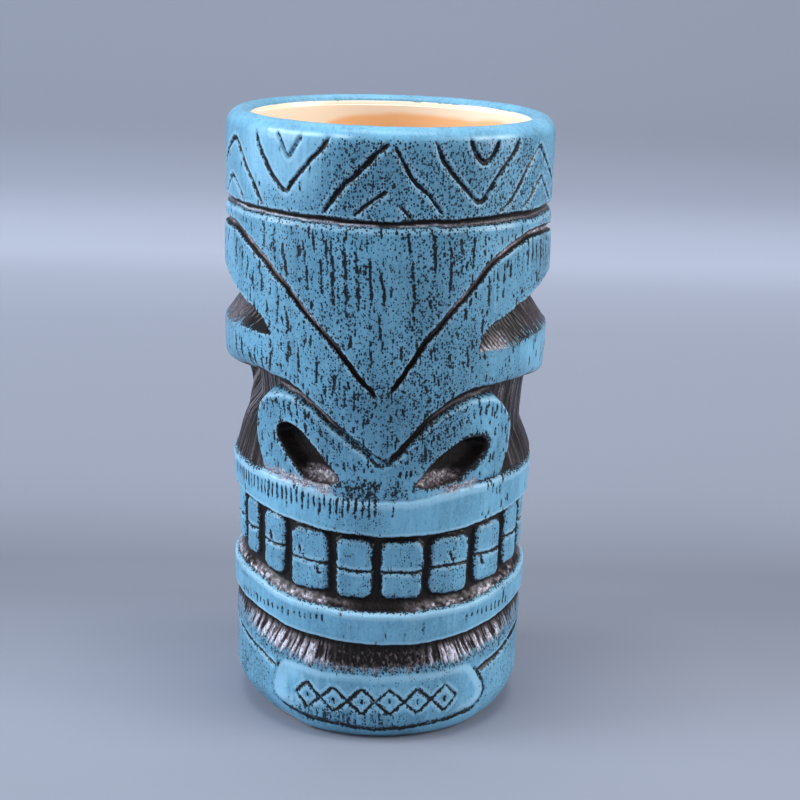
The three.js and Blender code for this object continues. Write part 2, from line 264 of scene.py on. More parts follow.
# Long grain marks: width, then the path from top to bottom
GRAIN_MARKS = [
    [0.8, (-41.8, 132.2), (-41, 130), (-39.6, 125.2)], [0.75, (-36.6, 129.6), (-35.4, 126), (-35, 121.8)],
    [0.65, (-31, 133), (-30.5, 126)], [0.65, (-29.2, 132.2), (-28.4, 129.6), (-28, 126.8)],
    [0.65, (-27.4, 126), (-27, 119.4)], [0.7, (-25.2, 134.4), (-24.6, 129.8)],
    [0.6, (-22.2, 128), (-21.7, 119)], [0.7, (-20.4, 134.2), (-20, 126.4)],
    [0.95, (-18.6, 134.2), (-17.9, 126), (-17.4, 119), (-17, 112.6)],
    [0.95, (-14.6, 135.2), (-14, 129), (-13.4, 121), (-12.1, 110.8)],
    [1, (-10.6, 132.6), (-9.8, 126), (-9.2, 119), (-8.4, 112.4)],
    [0.7, (-5.5, 130), (-5, 124), (-4.7, 115.8)], [0.75, (-2.6, 127.4), (-1.1, 121.4), (-0.7, 116.6)],
    [0.65, (-2.1, 115.2), (-1.7, 107.8)], [0.65, (-5.2, 109.2), (-4.4, 101.8)],
    [0.6, (-11.6, 110), (-11.2, 106.6)], [0.65, (6.4, 136), (7.4, 129)],
    [0.95, (7.9, 129.4), (8.6, 124), (9, 118), (9.2, 110.8)],
    [0.9, (14.4, 136), (15.4, 131), (16.1, 124.2)], [0.8, (13.4, 119.6), (14.4, 117.2), (15.8, 115.6)],
    [0.85, (20, 134.2), (21.4, 129), (21.2, 118.8)], [0.7, (25, 134), (25.3, 124.8)],
    [0.8, (29.6, 134.6), (29.5, 131), (28.9, 125.8)], [0.65, (34.1, 134.2), (34, 127.8)],
    [0.8, (13.7, 100.4), (14.5, 95.4), (15.1, 91.2)], [0.65, (16.4, 108.2), (17.1, 103.4)],
    [0.6, (5.5, 108.2), (5.7, 103)], [0.65, (22, 106.2), (22.4, 101)], [0.65, (34.2, 114), (34.4, 109)],
    [0.65, (28.6, 107), (28.9, 101.4)], [0.8, (-35.6, 115.4), (-34.5, 109)],
    [0.9, (-33.9, 106.4), (-34.6, 99.4)], [0.7, (-41.4, 104.6), (-42.4, 97.8)],
    [0.7, (-38.4, 118), (-39.5, 108.8)], [0.65, (-30, 104.4), (-29.5, 98.8)],
    [0.75, (-22.9, 104.2), (-23.5, 95.8)], [0.85, (-16.6, 99.8), (-17.1, 93.2)],
    [0.75, (-13.5, 97.2), (-13.2, 91)], [0.7, (-10, 96), (-10, 90.4)],
    [0.65, (-27.4, 110.2), (-27.8, 104.8)], [0.75, (-63, 129.4), (-63.6, 123.8)],
    [0.8, (-58.4, 127.4), (-58.6, 121.8)], [0.8, (-54.4, 124.4), (-55.2, 119)],
    [0.75, (-51, 122.8), (-51.6, 118.2)], [0.75, (-46.4, 122.4), (-46.6, 117.4)],
    [0.7, (-46.2, 135.2), (-45.4, 128)], [0.8, (-64.2, 104.2), (-63.4, 98.8)],
    [0.8, (-59, 104.4), (-59, 98.6)], [0.7, (-54, 101.4), (-54.5, 97.2)],
    [0.75, (-50.4, 103.2), (-50.6, 97.6)], [0.8, (-46.4, 102.4), (-46.6, 97)],
]


# ---------------------------------------------------------------- the grid of the outer surface
def rim_and_wall_profile():
    """Outside of the mug before carving, as [radius, height], from the lip's inner edge to the foot."""
    rim = spline([
        (MOUTH_RADIUS, 158.2), (36.5, 158.95), (37.3, 159.5), (38.5, HEIGHT - 0.2), (40.1, 159.3),
        (41.4, 158.1), (42.1, 156.4), (42.3, 154.2),
    ], 5)
    heights = np.arange(154.0, 9.0, -ROW_STEP)
    stations = [
        (9, 38.5), (20, 38.5), (30, 39.2), (36, 39.4), (50, 39.4), (60, 39.6), (66, 39.8), (72, 40),
        (80, 40.5), (88, 41), (95, 41.9), (100, 42.2), (112, 42.3), (120, 42.5), (128, 42.5),
        (133, 42.2), (139, 42.2), (155, 42.3),
    ]
    wall = np.stack([lookup(stations, heights), heights], axis=1)
    foot = spline([(38.5, 8.9), (38.1, 7.0), (37.5, 5.1), (36.6, 3.3), (35.5, 1.7), (34.1, 0.5)], 6)
    return np.concatenate([rim, wall, foot])


def lookup(stations, values):
    """Straight-line lookup in a list of [place, value]."""
    places = [station[0] for station in stations]
    heights = [station[1] for station in stations]
    return np.interp(values, places, heights)


def spline(points, steps):
    """Catmull-Rom curve through points, with that many steps between each two."""
    points = np.array(points, float)
    ends = np.concatenate([[2 * points[0] - points[1]], points, [2 * points[-1] - points[-2]]])
    out = []
    for index in range(len(points) - 1):
        a, b, c, d = ends[index:index + 4]
        for share in np.linspace(0, 1, steps, endpoint=False):
            square = share * share
            cube = square * share
            out.append(0.5 * (2 * b + (c - a) * share + (2 * a - 5 * b + 4 * c - d) * square
                              + (3 * b - a - 3 * c + d) * cube))
    out.append(points[-1])
    return np.array(out)


def unit(value):
    """The value held between 0 and 1."""
    return np.clip(value, 0, 1)


def ease(low, high, value):
    """From 0 at low to 1 at high, with a soft start and end."""
    share = unit((value - low) / (high - low))
    return share * share * (3 - 2 * share)


def between(value, low, full, still_full, high):
    """Rises from low to full, falls from still_full to high, and is 0 outside."""
    return ease(low, full, value) * ease(high, still_full, value)


def near(far, close, distance):
    """1 closer than close to 0 on either side, fading to 0 at far."""
    return ease(far, close, np.abs(distance))


def noise(across, up, seed, period=4096):
    """Smooth value noise from -1 to 1, one cell per unit, repeating across after a period of cells."""
    table = np.random.default_rng(seed).uniform(-1, 1, (256, 4096))
    across, up = np.broadcast_arrays(across, up)
    column = np.floor(across).astype(int)
    row = np.floor(up).astype(int)
    right = across - column
    above = up - row
    right = right * right * (3 - 2 * right)
    above = above * above * (3 - 2 * above)
    here = column % period
    there = (column + 1) % period
    low = table[row % 256, here] * (1 - right) + table[row % 256, there] * right
    high = table[(row + 1) % 256, here] * (1 - right) + table[(row + 1) % 256, there] * right
    return low * (1 - above) + high * above


PROFILE = rim_and_wall_profile()
ANGLES = -180 + 360 * np.arange(COLUMNS) / COLUMNS
COARSE_ANGLES = ANGLES[::FINE_PER_COARSE]
# Angle from the front and height, at every point of the grid
A, Z = np.meshgrid(ANGLES, PROFILE[:, 1])
TURN = np.abs(A)
ARC = A * ARC_PER_DEGREE
SIDE = A > 0
SHAPE = A.shape


def around(cells, up_size, seed):
    """Noise over the whole surface: that many cells around, each up_size tall."""
    return noise((A + 180) / 360 * cells, Z / up_size + 40, seed, period=cells)


# X around and Y up are the grid laid out flat, in millimetres, with the small wobble of the knife in them
WOBBLE = 0.28 * around(60, 5.0, 1) + 0.12 * around(190, 1.5, 2)
X = ARC + WOBBLE
Y = Z + 0.25 * around(50, 6.0, 3) + 0.12 * around(180, 1.4, 4)

# What the carving leaves: broad and thin cuts in millimetres, then how much dark wash covers the place,
# how bare of blue it is, how pale its floor is (partly painted light on floors that face up), and how light
# the blue is over an edge: the glaze running thin there, and painted highlights where edges catch the light
relief, incised, wash, bare, pale, thin_glaze_and_highlight = np.zeros((6, *SHAPE))


def cut_noise(wide, tall, seed, area=EVERYWHERE):
    """Noise laid over the carving, its cells that wide and tall in millimetres."""
    return noise(X[area] / wide + 300, Y[area] / tall + 30, seed)


def window(points, margin):
    """Rows and columns that a path and its margin cover."""
    arcs = [point[0] * ARC_PER_DEGREE for point in points]
    heights = [point[1] for point in points]
    columns = np.flatnonzero((ARC[0] > min(arcs) - margin) & (ARC[0] < max(arcs) + margin))
    rows = np.flatnonzero((Z[:, 0] > min(heights) - margin) & (Z[:, 0] < max(heights) + margin))
    return np.ix_(rows, columns)


def distance_to_path(points, area, closed=False):
    """Distance to a path, how far along it that is, and whether the path goes round the place."""
    path = np.array([(point[0] * ARC_PER_DEGREE, point[1]) for point in points])
    if closed:
        path = np.concatenate([path, path[:1]])
    x = X[area]
    y = Y[area]
    nearest = np.full(x.shape, 1e9)
    share = np.zeros(x.shape)
    inside = np.zeros(x.shape, bool)
    lengths = np.hypot(*np.diff(path, axis=0).T)
    starts = np.concatenate([[0], np.cumsum(lengths)])
    for index in range(len(path) - 1):
        x0, y0 = path[index]
        x1, y1 = path[index + 1]
        along = ((x - x0) * (x1 - x0) + (y - y0) * (y1 - y0)) / max(lengths[index] ** 2, 1e-9)
        along = unit(along)
        gap = np.hypot(x - x0 - along * (x1 - x0), y - y0 - along * (y1 - y0))
        closer = gap < nearest
        nearest = np.where(closer, gap, nearest)
        share = np.where(closer, (starts[index] + along * lengths[index]) / starts[-1], share)
        crosses = ((y0 > y) != (y1 > y)) & (x < x0 + (y - y0) / (y1 - y0 if y1 != y0 else 1) * (x1 - x0))
        inside ^= crosses
    return nearest, share, inside


def signed_distance(points, margin):
    """The window of a closed outline and the distance to it, negative inside."""
    area = window(points, margin)
    gap, _, inside = distance_to_path(points, area, closed=True)
    return area, np.where(inside, -gap, gap)


def deepen(field, values, area=EVERYWHERE):
    field[area] = np.maximum(field[area], values)


def wash_beside(gap, spread):
    """Cover of the dark wash: full inside an edge, thinning to dots over the spread outside it."""
    return np.maximum(ease(0.06, -0.2, gap), 0.52 * ease(spread, -0.05, gap))


def carve_line(points, width, depth, dark=1.0, taper=0.12, square=0.55):
    """A knife line: width at its widest, ends tapering over a share of its length."""
    area = window(points, width + 1.2)
    gap, share, _ = distance_to_path(points, area)
    ends = unit(np.minimum(share, 1 - share) / max(taper, 1e-3)) ** 0.5
    half = 0.43 * width * (0.35 + 0.65 * ends)
    across = gap / half
    deepen(incised, depth * unit(1 - across ** 2) ** square * (0.4 + 0.6 * ends), area)
    worn = np.minimum(0.85 + 0.4 * cut_noise(1.4, 1.4, 74, area), 1)
    deepen(wash, dark * worn * (0.6 + 0.4 * ends) * wash_beside(gap - half, 0.9), area)
    # a pale rim along the line: glaze running thin over the edge, and a painted highlight
    deepen(thin_glaze_and_highlight, 0.8 * ends * near(0.7, 0.2, gap - half - 0.5), area)


# ---------------------------------------------------------------- the carving, from the rim to the foot
def chevron(middle, steps):
    """A V about its middle, from steps that end at its tip."""
    left = [(middle - out, height) for out, height in steps]
    right = [(middle + out, height) for out, height in reversed(steps[:-1])]
    return left + right


def carve_headband():
    for (width, dark), *points in CHEVRONS:
        carve_line(spline(points, 3), width, 0.6 * width, dark, taper=0.06)
    for turn, outer, inner in BACK_CHEVRONS:
        for middle in (-turn, turn):
            carve_line(chevron(middle, outer), 1.35, 0.75, taper=0.06)
            carve_line(chevron(middle, inner), 1.3, 0.7, taper=0.1)


def carve_band_groove():
    middle = 137.15 + 0.35 * ease(0, 50, TURN) + 0.15 * around(24, 60, 5)
    half = 0.85 + 0.25 * ease(0, 45, A) + 0.12 * around(40, 60, 6)
    across = (Y - middle) / half
    groove = unit(1 - np.abs(across) ** 2.4) ** 0.5
    deepen(incised, 1.35 * groove)
    gap = (np.abs(across) - 1) * half
    deepen(wash, wash_beside(gap, 1.1))
    # painted light: a pale line along the lower wall of the groove, which faces up
    ragged = 0.45 + 0.55 * ease(-0.4, 0.4, around(60, 60, 7)) * ease(40, 0, A)
    lit_floor = near(0.42, 0.12, across + 0.6) * ragged
    deepen(pale, lit_floor)
    deepen(bare, groove)
    wash[:] -= 0.85 * lit_floor * wash
    # the lip of the forehead under the groove is rounded over
    below = middle - half - Y
    deepen(relief, 0.5 * ease(1.6, 0, below) * (below > -0.4))
    # painted highlight along the rounded lip under the groove
    shine = 0.45 + 0.55 * ease(-0.4, 0.5, around(50, 60, 9))
    deepen(thin_glaze_and_highlight, shine * near(1.0, 0.3, below - 0.8))


def carve_brow():
    for points in (BROW_LEFT, BROW_RIGHT):
        path = spline(points, 2)
        area = window(path, 3.5)
        gap, share, _ = distance_to_path(path, area)
        turn = TURN[area]
        half = lookup(BROW_HALF_WIDTH, turn)
        ends = ease(0, 0.03, share) * ease(0, 0.03, 1 - share)
        across = gap / half
        deepen(incised, 1.2 * ends * unit(1 - across ** 2.2) ** 0.55, area)
        deepen(wash, ends * wash_beside(gap - half, 0.8), area)
        # a pale rim along the groove: glaze running thin, and a painted highlight
        deepen(thin_glaze_and_highlight, 0.7 * ends * near(0.45, 0.1, gap - half - 0.35), area)
        # painted light: a pale line down the middle of the groove
        ragged = 0.4 + 0.6 * ease(-0.5, 0.3, around(110, 4.0, 8)[area])
        lit_floor = ease(0.6, 0.15, across) * ease(12, 26, turn) * ragged
        deepen(pale, 0.85 * lit_floor, area)
        deepen(bare, ease(1.0, 0.6, across) * ends, area)
        wash[area] *= 1 - 0.5 * lit_floor


def carve_eyes():
    carve_eye(-1, NOTCH_LEFT, HOLLOW_LEFT, CHEEK_TOP_LEFT)
    carve_eye(1, NOTCH_RIGHT, HOLLOW_RIGHT, CHEEK_TOP_RIGHT)


def carve_eye(side, notch_line, hollow, cheek_top):
    """A hollow under the brow: a notch between the brow's underside and the sloping top of the cheek."""
    turn = X / ARC_PER_DEGREE * side
    inside = (turn > 30) & (turn < HOLLOW_BACK_END)
    notch = lookup(notch_line, turn)
    depth = lookup(hollow, turn) * inside
    foot = np.minimum(lookup(cheek_top, turn), notch - 0.2)
    crest = notch + lookup(BROW_UNDERSIDE, turn)
    rise = Y - foot
    above = unit((crest - Y) / (crest - notch))
    below = unit(rise / (notch - foot))
    cut = np.where(Y > notch, above ** 1.3, below ** 0.85)
    cut = np.where((Y > crest) | (Y < foot), 0, cut)
    # the gouge strokes run steeply down and out from the brow
    across = turn * ARC_PER_DEGREE * 0.84 + Y * 0.54
    along = turn * ARC_PER_DEGREE * 0.54 - Y * 0.84
    strokes = noise(across / 0.6 + 500, along / 9 + 90, 11 + side)
    strokes = strokes + 0.5 * noise(across / 0.34 + 500, along / 4 + 90, 14 + side)
    lower_plane = inside & (Y <= notch) & (Y > foot - 1.5) & (depth > 0.05)
    reach = 1 - below
    frontal = ease(58, 49, turn) if side < 0 else ease(78, 64, turn)
    fade = ease(-0.12, 0.35, rise / np.maximum(notch - foot, 0.5))
    deepen(relief, depth * cut)
    relief[:] += lower_plane * (0.2 * strokes * fade * ease(46, 58, turn))
    soft_foot = ease(-3, 1, rise) * inside * (Y <= notch) * (depth > 0.05)
    shade = np.clip(1.2 - 0.7 * reach + 0.7 * strokes * fade, 0.36, 1)
    cover = np.where(Y > foot, np.maximum(shade, 0.9 * frontal * (side < 0)), 0.42)
    deepen(bare, lower_plane * ease(1.05, 0.6, reach))
    # the wash thins out over the far end, most of all on the left
    far_end = ease(56, 66, turn) * (1.0 if side < 0 else 0.4)
    faint = 0.6 * far_end * unit(0.6 + 0.5 * strokes) * ease(1.2, 0.9, reach)
    deepen(pale, lower_plane * faint)
    deepen(wash, soft_foot * cover)
    if side > 0:
        wander = 1.3 * noise(across / 2.5 + 500, along / 5 + 90, 17)
        wedge = np.cos(across * math.tau / GOUGE_SPACING + wander)
        gouge = ease(-0.3, 0.2, wedge + 1.35 - 2.3 * reach)
        lit = ease(52, 42, turn) * ease(0.3, 0.6, reach)
        carve_pointed_gouges(gouge, lit, frontal, fade, ease(-0.9, 0.2, rise), lower_plane)
    under_brow = near(1.4, 0.2, Y - crest) * inside * (depth > 0.4) * ease(60, 52, turn)
    deepen(wash, 0.6 * under_brow)


def carve_pointed_gouges(gouge, lit, frontal, fade, at_foot, lower_plane):
    """Gouges that hang from the dark strip under the right brow, with lit ridges between them."""
    lit = lit * (1 - gouge) * lower_plane * at_foot
    deepen(pale, 0.75 * lit)
    deepen(bare, 0.9 * lit)
    dotted = np.maximum(wash * (1 - 0.35 * lit), 0.5 * lit)
    wash[:] = np.where(lower_plane, np.maximum(dotted, frontal * gouge * at_foot), wash)
    relief[:] += lower_plane * (0.22 * (gouge - 0.5) * frontal * fade)


def carve_neck_and_nose():
    """The recess between the cheeks and the upper lip, which leaves the nose standing."""
    # towards the back the recess narrows to a rounded end
    closing = unit((TURN - 98) / 18)
    opening = np.sqrt(1 - closing ** 2)
    edge = NECK_MIDDLE + (lookup(CHEEK_EDGE, A) - NECK_MIDDLE) * opening
    foot = NECK_MIDDLE + (NECK_FOOT - NECK_MIDDLE) * opening
    depth = lookup(NECK_DEPTH, A)
    area, outside = signed_distance(NOSE_OUTLINE, 14)
    nose_gap = np.full(SHAPE, 9.0)
    nose_gap[area] = outside
    below = edge - Y
    over = Y - foot
    round_over = 0.7 + 0.6 * depth
    cheek_round = unit((below + round_over) / (round_over + 0.25 * depth + 0.2)) ** 2.6
    wing_round = ease(-0.5 - 0.34 * depth, 0.35 + 0.05 * depth, nose_gap)
    flare_place = over + NECK_FOOT
    flare = np.where(SIDE, lookup(NECK_FLARE_RIGHT, flare_place), lookup(NECK_FLARE_LEFT, flare_place))
    start = np.where(depth > 3, over > -0.8, ease(0.1, 0.9, over))
    flare = (1 + (flare - 1) * ease(1.5, 4.0, depth)) * start
    cut = depth * cheek_round * wing_round * flare * (1 - 0.6 * ease(4.5, 1.0, TURN))
    grain = noise(X / 0.75 + 300, Y / 14.0 + 40, 21)
    grain = grain + 0.5 * noise(X / 0.4 + 300, Y / 7.0 + 40, 22)
    region = ease(-0.5, 0.3, below) * ease(-0.3, 0.5, nose_gap) * ease(-0.2, 0.3, over)
    region = region * ease(0.02, 0.8, depth)
    deepen(relief, cut + 0.14 * grain * region * (depth > 3))
    deepen(bare, region)
    stain_neck(region, grain, depth, below, over, nose_gap)


def stain_neck(region, grain, depth, below, over, nose_gap):
    """Streaky wash in the recess round the nose, and where it creeps over the edges."""
    shade = ease(5.0, 0.5, below) * 0.25 + ease(3.0, 0.3, nose_gap) * 0.3 + ease(11.6, 3.6, over) * 0.5
    narrow = ease(4.5, 2.0, depth)
    faint = between(A, -20, -14, -2, 1)
    tip = ease(4.5, 1.5, TURN)
    dark = unit(0.5 + 0.4 * grain + shade + narrow) * (1 - 0.5 * faint) * (1 - 0.55 * tip)
    deepen(wash, region * dark)
    deepen(pale, 0.3 * region * (1 - narrow) * unit(0.2 - 0.6 * grain))
    bare[:] -= region * np.maximum(faint, tip) * bare
    # the wash creeps over the edges of the cheek, the nose and the lip
    near_cut = ease(0.2, 1.0, depth) * (over > -2.4)
    beside = np.minimum(np.abs(below + 0.2), np.abs(nose_gap)) + 9 * ((below < -2) | (over < -0.4))
    deepen(wash, near_cut * 0.56 * ease(1.2, 0.0, beside) * (below > -1.6))
    lip_creep = ease(67.8, 70.6, Y) * (Y < 71.5) * between(TURN, 48, 54, 98, 106)
    deepen(wash, 0.6 * lip_creep)
    # a thin pale line of painted light runs along the floor of the groove beside the nose
    ridge = near(0.5, 0.1, nose_gap - 0.7) * between(TURN, 14, 22, 38, 46)
    deepen(pale, 0.7 * region * ridge * np.where(SIDE, 0.55, 1.0))


def carve_under_nose():
    """Where the nose meets the lip: dark and dotted in the middle, a pale crust under each wing."""
    lip_top = lookup(LIP_TOP, A)
    ragged = 0.7 * cut_noise(1.1, 1.1, 65)
    height = ease(73.4, 71.0, Y + ragged) * ease(-1.1, 0.6, Y + ragged - lip_top)
    left = ease(-24, -6, A + 4 * ragged) * ease(0.6, -2.2, A + ragged)
    right = 0.8 * ease(0.2, 3.2, A + 2 * ragged) * ease(14, 3, A + 4 * ragged)
    patch = height * np.maximum(left, right)
    clumps = 0.9 + 0.3 * cut_noise(0.8, 0.8, 66)
    deepen(wash, 0.58 * np.sqrt(patch) * clumps)
    crust = near(1.9, 0.5, Y - lip_top - 0.6 + ragged)
    reach = np.maximum(between(A, -54, -46, -21, -15), between(A, 20, 26, 33, 40))
    crust = crust * reach * (bare < 0.3)
    deepen(pale, crust)
    deepen(bare, 0.7 * crust)
    deepen(wash, 0.4 * crust)
    # painted highlight on the top edge of the lip, right of the nose
    glint = near(1.3, 0.2, Y - lip_top + 0.2) * between(A, 16, 22, 32, 40)
    deepen(thin_glaze_and_highlight, 1.5 * glint)


def carve_nostrils():
    for points, side in ((NOSTRIL_LEFT, -1), (NOSTRIL_RIGHT, 1)):
        area, gap = signed_distance(spline(points + points[:1], 3)[:-1], 4)
        bowl = unit(-gap / 2.6)
        turn = TURN[area]
        floor_slope = ease(15, 30, turn)
        hollow = NOSTRIL_DEPTH * np.sin(bowl * math.pi / 2) ** 0.8
        deepen(relief, hollow * (0.45 + 0.55 * floor_slope), area)
        spread = np.where(turn > 26, 3.2, 1.4) if side > 0 else 1.3
        deepen(wash, wash_beside(gap, spread), area)
        if side > 0:
            deepen(wash, 0.64 * ease(2.4, 0.2, gap) * ease(24, 30, turn) * (gap > 0), area)
        deepen(bare, ease(0.2, -0.4, gap), area)
        # painted light: a pale patch broken by dots lies in the lower inner part, where the floor slopes up
        lit = ease(74.4, 73.0, Y[area]) * ease(-0.1, -0.7, gap) * ease(33, 29, turn)
        flecks = ease(-0.3, 0.4, noise(X[area] / 0.5 + 200, Y[area] / 0.5 + 60, 31 + side))
        deepen(pale, lit * (0.2 + 0.6 * flecks), area)
        wash[area] *= 1 - 0.45 * lit


def mouth_edges():
    """Heights of the open mouth's top and bottom, which meet in a rounded end at each side."""
    upper = lookup(UPPER_LIP_EDGE, A)
    lower = lookup(LOWER_LIP_TOP, A)
    closing = unit((TURN - 100) / 8)
    half_open = (upper - lower) / 2 * np.sqrt(unit(1 - closing ** 2))
    middle = (upper + lower) / 2
    return middle + half_open, middle - half_open


def carve_lip_edges():
    """The rounded top of the upper lip, the seam under the cheeks, and painted highlights along both lips'
    edges.
    """
    top, bottom = mouth_edges()
    under_edge = lookup(LIP_TOP, A) - Y
    top_round = (0.45 + 0.45 * ease(30, 52, TURN)) * ease(1.3, 0, under_edge) ** 1.5 * (under_edge > 0)
    deepen(relief, top_round * ease(106, 96, TURN))
    deepen(incised, 0.22 * near(0.9, 0.2, under_edge) * between(TURN, 14, 26, 50, 56))
    # painted highlights along the lips' edges, stronger on the left
    edges = near(1.8, 0.5, under_edge - 1.2) + near(1.5, 0.4, bottom - Y - 1)
    shine = 1.15 - 0.3 * ease(-30, 40, A)
    deepen(thin_glaze_and_highlight, shine * unit(edges) * (TURN < 106))


def carve_mouth():
    """The sunk mouth behind the teeth, with a pale crust along the top of the lower lip, partly painted
    light.
    """
    top, bottom = mouth_edges()
    open_end = ease(109, 103, TURN)
    under_top = top - Y
    over_bottom = Y - bottom
    ledge = unit(over_bottom / 2.6)
    sill = ease(-0.9, 0, over_bottom) * 1.2
    floor = ease(-0.35, 0.45, under_top) * np.where(over_bottom > 0, 1.2 + 1.2 * ease(0.15, 1, ledge), sill)
    in_mouth = (over_bottom > -1) * (under_top > -0.6) * (open_end > 0)
    deepen(relief, floor * in_mouth * open_end)
    region = ease(-0.15, 0.25, under_top) * ease(-0.1, 0.35, over_bottom) * open_end
    deepen(bare, region)
    deepen(wash, region * unit(0.92 + 0.3 * around(260, 1.2, 41)))
    # pale crust on the ledge, partly painted light where it faces up
    ledge_light = region * ease(3, 0.6, over_bottom)
    patches = ease(-0.7, 0.5, around(60, 30, 42) + 0.9 * around(300, 0.7, 43)) * ease(6, 24, TURN)
    deepen(pale, 0.9 * ledge_light * patches)
    wash[:] -= 0.5 * ledge_light * patches
    # a dotted edge of wash along the rims of the mouth
    mouth_edge = np.minimum(np.abs(under_top), np.abs(over_bottom))
    deepen(wash, 0.55 * ease(1, 0, mouth_edge) * (TURN < 112))


def carve_chin():
    """The scooped chin under the lower lip, cut with strokes that lean outwards."""
    chin = lookup(LOWER_LIP_EDGE, A)
    under_lip = chin - Y
    chin_foot = lookup(CHIN_FOOT, A)
    chin_end = ease(118, 106, TURN)
    slope = unit((Y - chin_foot) / (chin - chin_foot))
    scoop = ease(-0.4, 0.35, under_lip) * slope ** 0.9 * lookup(CHIN_DEPTH, TURN) * chin_end
    lean = np.sign(A) * ease(6, 45, TURN) * 0.55
    across = X + lean * (Y - 24)
    strokes = 0.8 * noise(across / 0.7 + 600, Y / 12 + 20, 51)
    strokes = strokes + 0.8 * noise(across / 0.34 + 600, Y / 3 + 20, 52)
    reach = slope - 0.14 - 0.12 * strokes
    on_chin = ease(-0.6, 0.3, Y - chin_foot)
    band = ease(-0.1, 0.3, under_lip) * ease(-0.14, 0.18, reach) * chin_end * on_chin
    creep = ease(-0.1, 0.3, under_lip) * ease(-2.6, 0.2, Y - chin_foot - 1.2 * strokes) * chin_end
    deepen(relief, scoop + 0.25 * strokes * band)
    strip = ease(3.2, 1.7, under_lip)
    centre = ease(24, 15, TURN)
    far = ease(52, 66, TURN)
    wedge = ease(0, 0.45, strokes + 1.9 * (slope - 0.42))
    dark = unit(0.08 + 0.92 * wedge + strip + 0.7 * centre * ease(0, 0.35, slope) + 0.2 * far)
    deepen(bare, band * (1 - 0.6 * far))
    deepen(wash, creep * np.maximum(band * dark, 0.4 * (1 - 0.35 * band * (1 - centre))))
    flecks = ease(0.35, 0.7, noise(across / 0.5 + 600, Y / 0.6 + 20, 53))
    fringe = ease(0.4, 0.1, slope) * ease(0.1, -0.3, strokes)
    side_light = unit(1 - centre - 0.7 * far) * ease(0.45, -0.1, strokes)
    lit = np.maximum(side_light, centre * np.maximum(0.4 * flecks, 0.5 * fringe))
    deepen(pale, band * lit * ease(1.2, 2.8, under_lip))


def round_box_distance(x, y, sides, ends, corner):
    """Distance to a rounded rectangle, negative inside."""
    left, right = sides
    low, high = ends
    dx = np.abs(x - (left + right) / 2) - (right - left) / 2 + corner
    dy = np.abs(y - (low + high) / 2) - (high - low) / 2 + corner
    return np.hypot(np.maximum(dx, 0), np.maximum(dy, 0)) + np.minimum(np.maximum(dx, dy), 0) - corner


def carve_teeth():
    chips = np.random.default_rng(61)
    for left, right, top, split, foot in TEETH:
        area = window([(left, foot), (right, top)], 1.5)
        x = X[area]
        y = Y[area]
        tilt = chips.uniform(-0.02, 0.02)
        y = y + tilt * (x - (left + right) / 2 * ARC_PER_DEGREE)
        sides = (left * ARC_PER_DEGREE - 0.5, right * ARC_PER_DEGREE + 0.5)
        gap = round_box_distance(x, y, sides, (foot - 0.1, top + 0.1), TOOTH_CORNER)
        gap = gap + 0.18 * noise(x / 0.9 + 300, y / 0.9 + 30, 62)
        rise = unit(-gap / 2.0)
        height = TOOTH_HEIGHT * np.sin(rise * math.pi / 2) ** 0.8
        sunk = relief[area]
        raised = sunk - np.minimum(height, np.maximum(sunk - 0.5, 0))
        relief[area] = np.where(gap < 0, raised, sunk)
        cover = ease(0.1, -0.3, gap)
        clear = 0.72 * ease(-1.3, 0.15, gap) + 0.18 * ease(-4, -1, gap) + 0.12
        wash[area] = wash[area] * (1 - cover) + clear * cover
        bare[area] *= 1 - cover
        pale[area] *= 1 - cover
        middle = (left + right) / 2
        across = [(left - 0.6, split + 0.3), (middle, split - 0.25), (right + 0.6, split + 0.1)]
        carve_line(across, 0.8, 0.5, taper=0.01)
    for place, height in TOOTH_CHIPS:
        carve_line([(place - 0.9, height + 1.6), (place, height - 1.3)], 0.9, 0.45, taper=0.4)
        carve_line([(place, height - 1.3), (place + 1.4, height - 1.0)], 0.7, 0.35, taper=0.4)


def foot_inset(angles):
    """The left of the foot is rounder than the right."""
    left = 1.2 * ease(-26, -46, angles) * ease(-150, -110, angles)
    right = 0.5 * ease(40, 56, angles) * ease(150, 110, angles)
    return left + right


